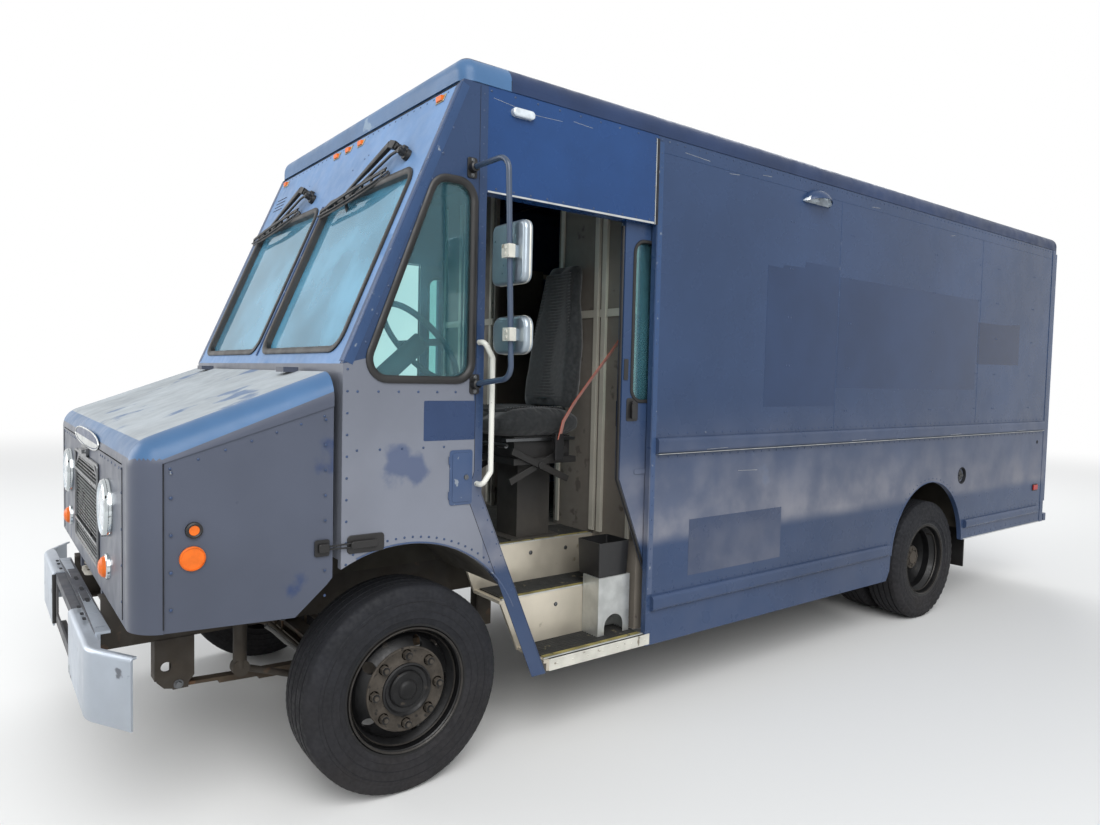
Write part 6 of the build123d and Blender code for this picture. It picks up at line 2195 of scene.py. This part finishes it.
@dataclass
class CabFittings:
    """Gauges, inside mirror, pedals, bulkhead channels, and the load space's rails and ribs."""

    dash_rear: float = -0.040
    bulkhead: float = 1.240

    def build(self) -> None:
        """Build the cab's fittings."""
        self._dash()
        self._pedals()
        self._bulkhead()
        self._load_space()

    def _dash(self) -> None:
        """Gauges with rims and needles, a row of switches, vents and the inside mirror."""
        rims = Shape()
        faces = Shape()
        for x, z, radius in ((0.62, 1.50, 0.055), (0.48, 1.50, 0.055), (0.36, 1.46, 0.030),
                             (0.36, 1.54, 0.030), (0.74, 1.54, 0.030)):
            spot = van(x, self.dash_rear, z)
            rims.spin([(0.0, radius + 0.006), (0.012, radius + 0.004), (0.012, radius - 0.002),
                       (0.003, radius - 0.003)], spot, BACKWARD, 32)
            faces.spin([(0.002, CORE), (0.004, radius - 0.003), (0.0, radius - 0.003), (0.0, CORE)], spot,
                       BACKWARD, 32)
            pivot = spot + BACKWARD * 0.006
            rims.beam(pivot, pivot + Vector((-radius * 0.6, 0, radius * 0.35)), 0.003, 0.002, BACKWARD)
        for i in range(9):
            rims.box(van(0.08 + 0.034 * i, self.dash_rear, 1.375),
                     van(0.102 + 0.034 * i, self.dash_rear + 0.012, 1.405))
        for x in (-0.85, -0.30, 0.92):
            for row in range(5):
                rims.box(van(x - 0.05, self.dash_rear, 1.50 + 0.014 * row),
                         van(x + 0.05, self.dash_rear + 0.006, 1.506 + 0.014 * row))
        rims.piece("dash_trim", WIPER, bevel=0.001)
        faces.piece("gauge_faces", DASH)
        mirror = Shape()
        oval = [(0.11 * squared(math.cos(a), 0.8), 0.04 * math.sin(a)) for a in turns(28)]
        mirror.prism([(0.30 + a, 2.36 + b) for a, b in oval], on_front, 0.030, 0.052)
        mirror.tube([van(0.30, 0.030, 2.36), van(0.30, 0.010, 2.46)], 0.008, 8)
        mirror.piece("cab_mirror", WIPER, bevel=0.004)

    def _pedals(self) -> None:
        """Three ribbed pedals on their arms."""
        shape = Shape()
        for x in (0.38, 0.52, 0.66):
            shape.beam(van(x, -0.02, 1.30), van(x, 0.06, 1.02), 0.016, 0.012, BACKWARD)
            shape.beam(van(x, 0.045, 1.03), van(x, 0.10, 0.985), 0.075, 0.014, BACKWARD)
            for y, z in ((0.058 + 0.012 * i, 1.028 - 0.0098 * i) for i in range(4)):
                shape.beam(van(x - 0.03, y, z), van(x + 0.03, y, z), 0.004, 0.004, Vector((0, 1, 1)))
        shape.piece("pedals", WIPER, bevel=0.002)

    def _bulkhead(self) -> None:
        """Pale channels and rivets on the front of both half bulkheads."""
        y = self.bulkhead
        shape = Shape()
        for x in (0.66, 0.72):
            shape.box(van(x - 0.016, y - 0.018, 0.87), van(x + 0.016, y, 2.78))
        for x in (0.36, 0.93):
            shape.box(van(x - 0.012, y - 0.012, 0.87), van(x + 0.012, y, 2.78))
        shape.box(van(0.33, y - 0.010, 1.98), van(0.95, y, 2.02))
        shape.both().piece("bulkhead_channels", CEILING, bevel=0.0015)
        heads = Shape()
        for x in (0.345, 0.69, 0.945):
            heads.rivets(van(x, y - 0.0005, 0.95), van(x, y - 0.0005, 2.70), 0.12, AHEAD, 0.005)
        heads.both().piece("bulkhead_rivets", BRIGHT)

    def _load_space(self) -> None:
        """Ceiling ribs, shelf rails along the walls and floor ribs."""
        shape = Shape()
        for i in range(11):
            y = 1.42 + 0.44 * i
            shape.box(van(-0.96, y - 0.020, 2.866), van(0.96, y + 0.020, 2.882))
        shape.piece("ceiling_ribs", CEILING, bevel=0.002)
        rails = Shape()
        for z in (1.22, 1.62, 2.02, 2.42):
            rails.box(van(1.004, 1.40, z - 0.018), van(1.014, 5.60, z + 0.018))
        rails.both().piece("shelf_rails", CEILING, bevel=0.0015)
        floor = Shape()
        for i in range(15):
            x = -0.42 + 0.06 * i
            floor.box(van(x - 0.006, 1.32, 0.850), van(x + 0.006, 5.88, 0.8535))
        floor.piece("floor_ribs", FLOOR, bevel=0.001)


@dataclass
class StepTrim:
    """Mats with worn nosings, riser bolts and the open bin beside the driver's steps."""

    sill: float = 0.375
    tread_one: float = 0.425
    tread_two: float = 0.655
    floor: float = 0.850
    rear: float = 1.240

    def build(self) -> None:
        """Build the trim of both step wells."""
        self._mats()
        self._sill()
        self._bin()

    def _mats(self) -> None:
        """Ribbed mats with worn front strips and bare nosings, and the risers' bolts."""
        mats = Shape()
        worn = Shape()
        nosing = Shape()
        bolts = Shape()
        table = ((0.872, 1.056, self.tread_one), (0.662, 0.862, self.tread_two), (0.40, 0.652, self.floor))
        for inner, outer, z in table:
            front = DOORWAY_Y + (BEND_Z - z) * DOOR_LEAN + 0.030
            mats.box(van(inner, front, z + 0.0003), van(outer - 0.030, self.rear - 0.012, z + 0.006))
            for i in range(int((outer - inner - 0.045) / 0.018)):
                x = inner + 0.010 + 0.018 * i
                mats.tube([van(x, front + 0.01, z + 0.006), van(x, self.rear - 0.02, z + 0.006)], 0.0035, 6)
            worn.box(
                van(outer - 0.030, front, z + 0.0003), van(outer - 0.004, self.rear - 0.012, z + 0.0052))
            nosing.tube([van(outer - 0.001, front - 0.010, z + 0.001),
                         van(outer - 0.001, self.rear - 0.004, z + 0.001)], 0.0050, 8)
        for x, low, high in ((0.870, self.tread_one, self.tread_two), (0.660, self.tread_two, self.floor)):
            for y in (0.62, 0.84, 1.06, 1.19):
                bolts.bolt(van(x + 0.0005, y, low + (high - low) * 0.72), OUTWARD, 0.008, 0.005)
        mats.both().piece("step_mats", MAT)
        worn.both().piece("step_mats_worn", WORN_MAT, bevel=0.0015)
        nosing.both().piece("step_nosings", BARE_EDGE)
        bolts.both().piece("riser_bolts", BRIGHT)

    def _sill(self) -> None:
        """The pale strip with its rivets along the doorway's foot."""
        sill = Shape().box(
            van(1.058, 0.655, self.sill - 0.004), van(1.0718, self.rear + 0.03, self.sill + 0.050))
        sill.rivets(van(1.072, 0.70, self.sill + 0.024), van(1.072, self.rear, self.sill + 0.024), 0.09,
                    OUTWARD, 0.005)
        sill.both().piece("step_sills", PALE_RIM, bevel=0.0015)

    def _bin(self) -> None:
        """A black open-topped bin standing on a small sheet box with a cut-out."""
        x0, x1, y0, y1 = 0.872, 0.990, 1.005, 1.205
        low, top = self.tread_one + 0.006, self.tread_one + 0.290
        stand = Shape()
        stand.box(van(x0, y0, top - 0.003), van(x1, y1, top))
        stand.box(van(x0, y0, low), van(x0 + 0.002, y1, top - 0.003))
        stand.box(van(x0 + 0.002, y1 - 0.002, low), van(x1, y1, top - 0.003))
        stand.box(van(x0 + 0.002, y0, low), van(x1 - 0.002, y0 + 0.002, top - 0.003))
        cut = [(y0, low), (y0 + 0.040, low)]
        for angle in turns(24)[:13]:
            cut.append((1.105 - 0.060 * math.cos(angle), low + 0.040 + 0.058 * math.sin(angle)))
        cut += [(y1 - 0.040, low), (y1, low), (y1, top - 0.003), (y0, top - 0.003)]
        stand.prism(cut, ON_LEFT, x1 - 0.002, x1)
        stand.piece("bin_stand", BARE_EDGE, bevel=0.0008)
        rings = []
        for inset, z in ((0.006, top + 0.0005), (0.003, top + 0.08), (0.0, top + 0.160), (0.0, top + 0.166),
                         (0.004, top + 0.166), (0.007, top + 0.08), (0.012, top + 0.006)):
            outline = rounded_outline(
                (0.822 + inset, y0 + inset), (x1 - inset, y1 - 0.008 - inset), 0.010, 4)
            rings.append([van(a, b, z) for a, b in outline])
        Shape().loft(rings).piece("bin", BIN)


@dataclass
class Underside:
    """U-bolts, brake hoses and bolts that show below the body."""

    spring_x: float = 0.3685
    rail_x: float = 0.432

    def build(self) -> None:
        """Build the underside's fittings."""
        bolts = Shape()
        for y, top, low in ((0.0, 0.50, 0.30), (4.07, 0.56, 0.33)):
            for shift in (-0.062, 0.062):
                for x in (self.spring_x - 0.052, self.spring_x + 0.052):
                    bolts.tube([van(x, y + shift, low), van(x, y + shift, top)], 0.007, 8)
                bolts.tube([van(self.spring_x - 0.052, y + shift, top),
                            van(self.spring_x + 0.052, y + shift, top)], 0.007, 8)
        bolts.both().piece("spring_u_bolts", SPRING)
        hose = Shape().tube([van(0.520, -0.405, 0.616), van(0.515, -0.37, 0.585), van(0.518, -0.32, 0.53),
                             van(0.520, -0.277, 0.494)], 0.009, 10)
        hose.both().piece("brake_hoses", HOSE)
        ring = Shape()
        ring.spin([(0.0, 0.011), (0.006, 0.015), (0.0, 0.019), (-0.004, 0.015)],
                  van(self.rail_x + 0.004, -0.305, 0.614), OUTWARD, 24)
        ring.bolt(van(self.rail_x + 0.004, -0.718, 0.413), OUTWARD, 0.014, 0.012)
        ring.bolt(van(0.480, -0.495, 0.450), OUTWARD, 0.020, 0.016)
        for y in (-0.66, -0.62, 0.20, 0.62, 0.98, 1.6, 2.3):
            ring.bolt(van(self.rail_x, y, 0.70), OUTWARD, 0.010, 0.008)
        ring.both().piece("rail_bolts", BRIGHT)


@dataclass
class Studio:
    """Camera at the photograph's place, soft lamps, a pale floor and a white background."""

    eye: Point = (3.70728, -3.86498, 1.67394)
    azimuth: float = 52.7086
    pitch: float = -2.7584
    roll: float = 1.3083
    focal_px: float = 768.257
    frame_px: float = 1100
    sensor_mm: float = 36
    floor_half: float = 60
    floor_colour: Colour = (0.74, 0.74, 0.73)
    floor_near: float = 6.0
    floor_far: float = 20.0

    def build(self) -> None:
        """Make the camera, lamps, world and floor."""
        self._camera()
        self._world()
        self._lamps()
        self._floor()
        log.info("studio ready")

    def _camera(self) -> None:
        """Aim the camera with the azimuth, pitch and roll solved from the photograph."""
        a, p, r = (math.radians(v) for v in (self.azimuth, self.pitch, self.roll))
        ahead = Vector((-math.sin(a) * math.cos(p), math.cos(a) * math.cos(p), math.sin(p)))
        level = Vector((math.cos(a), math.sin(a), 0))
        over = level.cross(ahead)
        right = level * math.cos(r) + over * math.sin(r)
        up = over * math.cos(r) - level * math.sin(r)
        data = bpy.data.cameras.new("studio_camera")
        data.sensor_width = self.sensor_mm
        data.lens = self.focal_px * self.sensor_mm / self.frame_px
        camera = bpy.data.objects.new("studio_camera", data)
        bpy.context.scene.collection.objects.link(camera)
        turn = Matrix((right, up, -ahead)).transposed().to_4x4()
        camera.matrix_world = Matrix.Translation(self.eye) @ turn
        bpy.context.scene.camera = camera

    def _world(self) -> None:
        """White to the camera, mirrors and glass, and a softer light on everything else."""
        world = bpy.data.worlds.new("studio_world")
        bpy.context.scene.world = world
        wires = Wiring(world)
        output = wires.node("ShaderNodeOutputWorld")
        seen = wires.node("ShaderNodeBackground", {"Color": (1, 1, 1, 1)})
        soft = wires.node("ShaderNodeBackground", {"Color": (0.93, 0.96, 1.0, 1), "Strength": 0.6})
        rays = wires.node("ShaderNodeLightPath").outputs
        straight = wires.math("MAXIMUM", rays["Is Camera Ray"], rays["Is Glossy Ray"])
        straight = wires.math("MAXIMUM", straight, rays["Is Transmission Ray"])
        mixed = wires.blend(straight, soft.outputs["Background"], seen.outputs["Background"])
        wires.join(mixed, output.inputs["Surface"])

    def _lamps(self) -> None:
        """A large key lamp over the driver's side, a fill in front and a rim behind."""
        table = (("key", (9.0, -5.5, 8.5), 9.0, 1500.0), ("fill", (-7.0, -11.0, 5.0), 8.0, 700.0),
                 ("back", (-6.0, 9.0, 8.0), 8.0, 700.0))
        for name, place, size, power in table:
            data = bpy.data.lights.new(f"lamp_{name}", "AREA")
            data.size = size
            data.energy = power
            lamp = bpy.data.objects.new(f"lamp_{name}", data)
            bpy.context.scene.collection.objects.link(lamp)
            lamp.location = place
            aim = Vector((0, -1.2, 1.2)) - Vector(place)
            lamp.rotation_euler = aim.to_track_quat("-Z", "Y").to_euler()

    def _floor(self) -> None:
        """A plain pale floor that fades to the background's white away from the van."""
        half = self.floor_half
        mesh = bpy.data.meshes.new("studio_floor")
        mesh.from_pydata(
            [(-half, -half, 0), (half, -half, 0), (half, half, 0), (-half, half, 0)], [], [(0, 1, 2, 3)])
        floor = bpy.data.objects.new("studio_floor", mesh)
        bpy.context.scene.collection.objects.link(floor)
        made = bpy.data.materials.new("studio_floor")
        wires = Wiring(made)
        output = wires.node("ShaderNodeOutputMaterial")
        colour = (*self.floor_colour, 1)
        shader = wires.node("ShaderNodeBsdfPrincipled", {"Base Color": colour, "Roughness": 0.9})
        white = wires.node("ShaderNodeEmission")
        away = wires.node("ShaderNodeVectorMath", operation="LENGTH")
        wires.join(wires.node("ShaderNodeTexCoord").outputs["Object"], away.inputs[0])
        fade = wires.remap(away.outputs["Value"], self.floor_near, self.floor_far)
        mixed = wires.blend(fade, shader.outputs["BSDF"], white.outputs["Emission"])
        wires.join(mixed, output.inputs["Surface"])
        mesh.materials.append(made)


def dress_nodes() -> None:
    """Give every CAD node its finish. A rule's test takes a face's centre c and its normal n."""
    table = (
        (PAINT, ("cargo_sides", "rub_rails", "rear_frame", "rear_door", "rear_step", "door_left",
                 # The door headers' deeper blue is a painted sky reflection.
                 "door_right")), (ROOF, ("roof",)), (HEADER_SKY_REFLECTION, ("door_headers",)),
        (BLACK_STEEL, ("front_axle", "rear_axle", "knuckle_left", "knuckle_right", "tie_rod", "sway_bar")),
        (SPRING, ("leaf_springs",)), (ENGINE, ("engine_block",)), (TANK, ("fuel_tank",)),
        (EXHAUST, ("exhaust",)), (GLASS, ("door_glass_left", "door_glass_right")),
        (RUBBER, ("window_rubbers", "mud_flaps")), (SHEET, ("step_wells",)), (INNER, ("inner_panels",)),
        (FLOOR, ("floor",)), (LINER, ("wheel_boxes",)), (SEAT_STEEL, ("seat_base",)),
        (CLOTH, ("seat_cushion", "seat_back")), (DASH, ("dash", "steering_wheel")),
        (TUBE, ("mirror_arms",)), (MIRROR_SHELL, ("mirror_heads",)), (AMBER, ("turn_signals",)),
        (HANDLE, ("grab_handles",)), (WIPER, ("wipers",)), (BRIGHT, ("grille",)),
        (TYRE, tuple(f"tyre_{end}_{side.word}" for end in ("front", "rear") for side in Side)),
        (WHEEL, tuple(f"rim_{end}_{side.word}" for end in ("front", "rear") for side in Side)))
    for finish, names in table:
        dress(names, finish)
    rules = (
        ("cab_front", BROW, ((COWL, lambda c, n: c.z < 1.70), (INNER, lambda c, n: n.y > 0.5))),
        # The roof cap's lip below its top: painted sky reflection.
        ("roof_cap", SHOULDER_SKY_REFLECTION, ((ROOF, lambda c, n: c.z > 2.91),)),
        ("cab_sides", COWL, ((PAINT, lambda c, n: c.z > 1.72 or c.y > 0.30),)),
        ("hood", HOOD_SIDE, ((HOOD_TOP, lambda c, n: n.z > 0.8 and c.y > -0.97 and abs(c.x) < 0.974),
                             # Faces that turn up between the hood's top and sides: painted sky reflection.
                             (SHOULDER_SKY_REFLECTION, lambda c, n: 0.25 < n.z < 0.97),
                             (BLACK_STEEL, lambda c, n: n.z < -0.8 and c.y > -0.9))),
        # Windscreen faces get the pale film of painted sky reflection.
        ("cab_glass", GLASS, ((SCREEN, lambda c, n: abs(n.y) > 0.5),)),
        ("front_bumper", BLACK_STEEL, ((SILVER, lambda c, n: abs(c.x) > 0.315 and c.y < -0.95),
                                       (BUMPER_BLUE, lambda c, n: c.y < -0.95 and n.z > -0.5),
                                       (HOOK, lambda c, n: c.y < -0.90 and c.z > 0.748))),
        ("headlamps", CHROME, ((CLEAR_LAMP, lambda c, n: math.hypot(abs(c.x) - 0.6, c.z - 1.17) < 0.0895),)),
        ("chassis_frame", BLACK_STEEL,
         ((HOOK, lambda c, n: c.y < -0.915 and -0.31 < c.x < -0.15 and c.z > 0.75),)),
        ("body_lamps", AMBER,
         ((CLEAR_LAMP, lambda c, n: 2.3 < c.y < 2.7 and abs(c.x) < 1.105 and c.z > 2.69 and n.z < 0.5),
          (PAINT, lambda c, n: 2.3 < c.y < 2.7), (CLEAR_LAMP, lambda c, n: 0.3 < c.y < 0.6 and c.z > 2.7),
          (RED, lambda c, n: c.y > 5.6))))
    for name, finish, tests in rules:
        dress((name,), finish, tests)


def main() -> None:
    """Build the studio and every sub-assembly."""
    logging.basicConfig(level=logging.INFO, format="%(name)s: %(message)s")
    scene = bpy.context.scene
    scene.view_settings.view_transform = "Standard"
    Studio().build()
    dress_nodes()
    for part in (Seals(), CabSkin(), Wipers(), Mirrors(), LoadBody(), RoofSkin(), RearSkin(), HoodTrim(),
                 BumperTrim(), Wheels(), DoorTrim(), Seat(), CabFittings(), StepTrim(), Underside()):
        part.build()
        log.info("built %s", type(part).__name__)


if __name__ == "__main__":
    main()
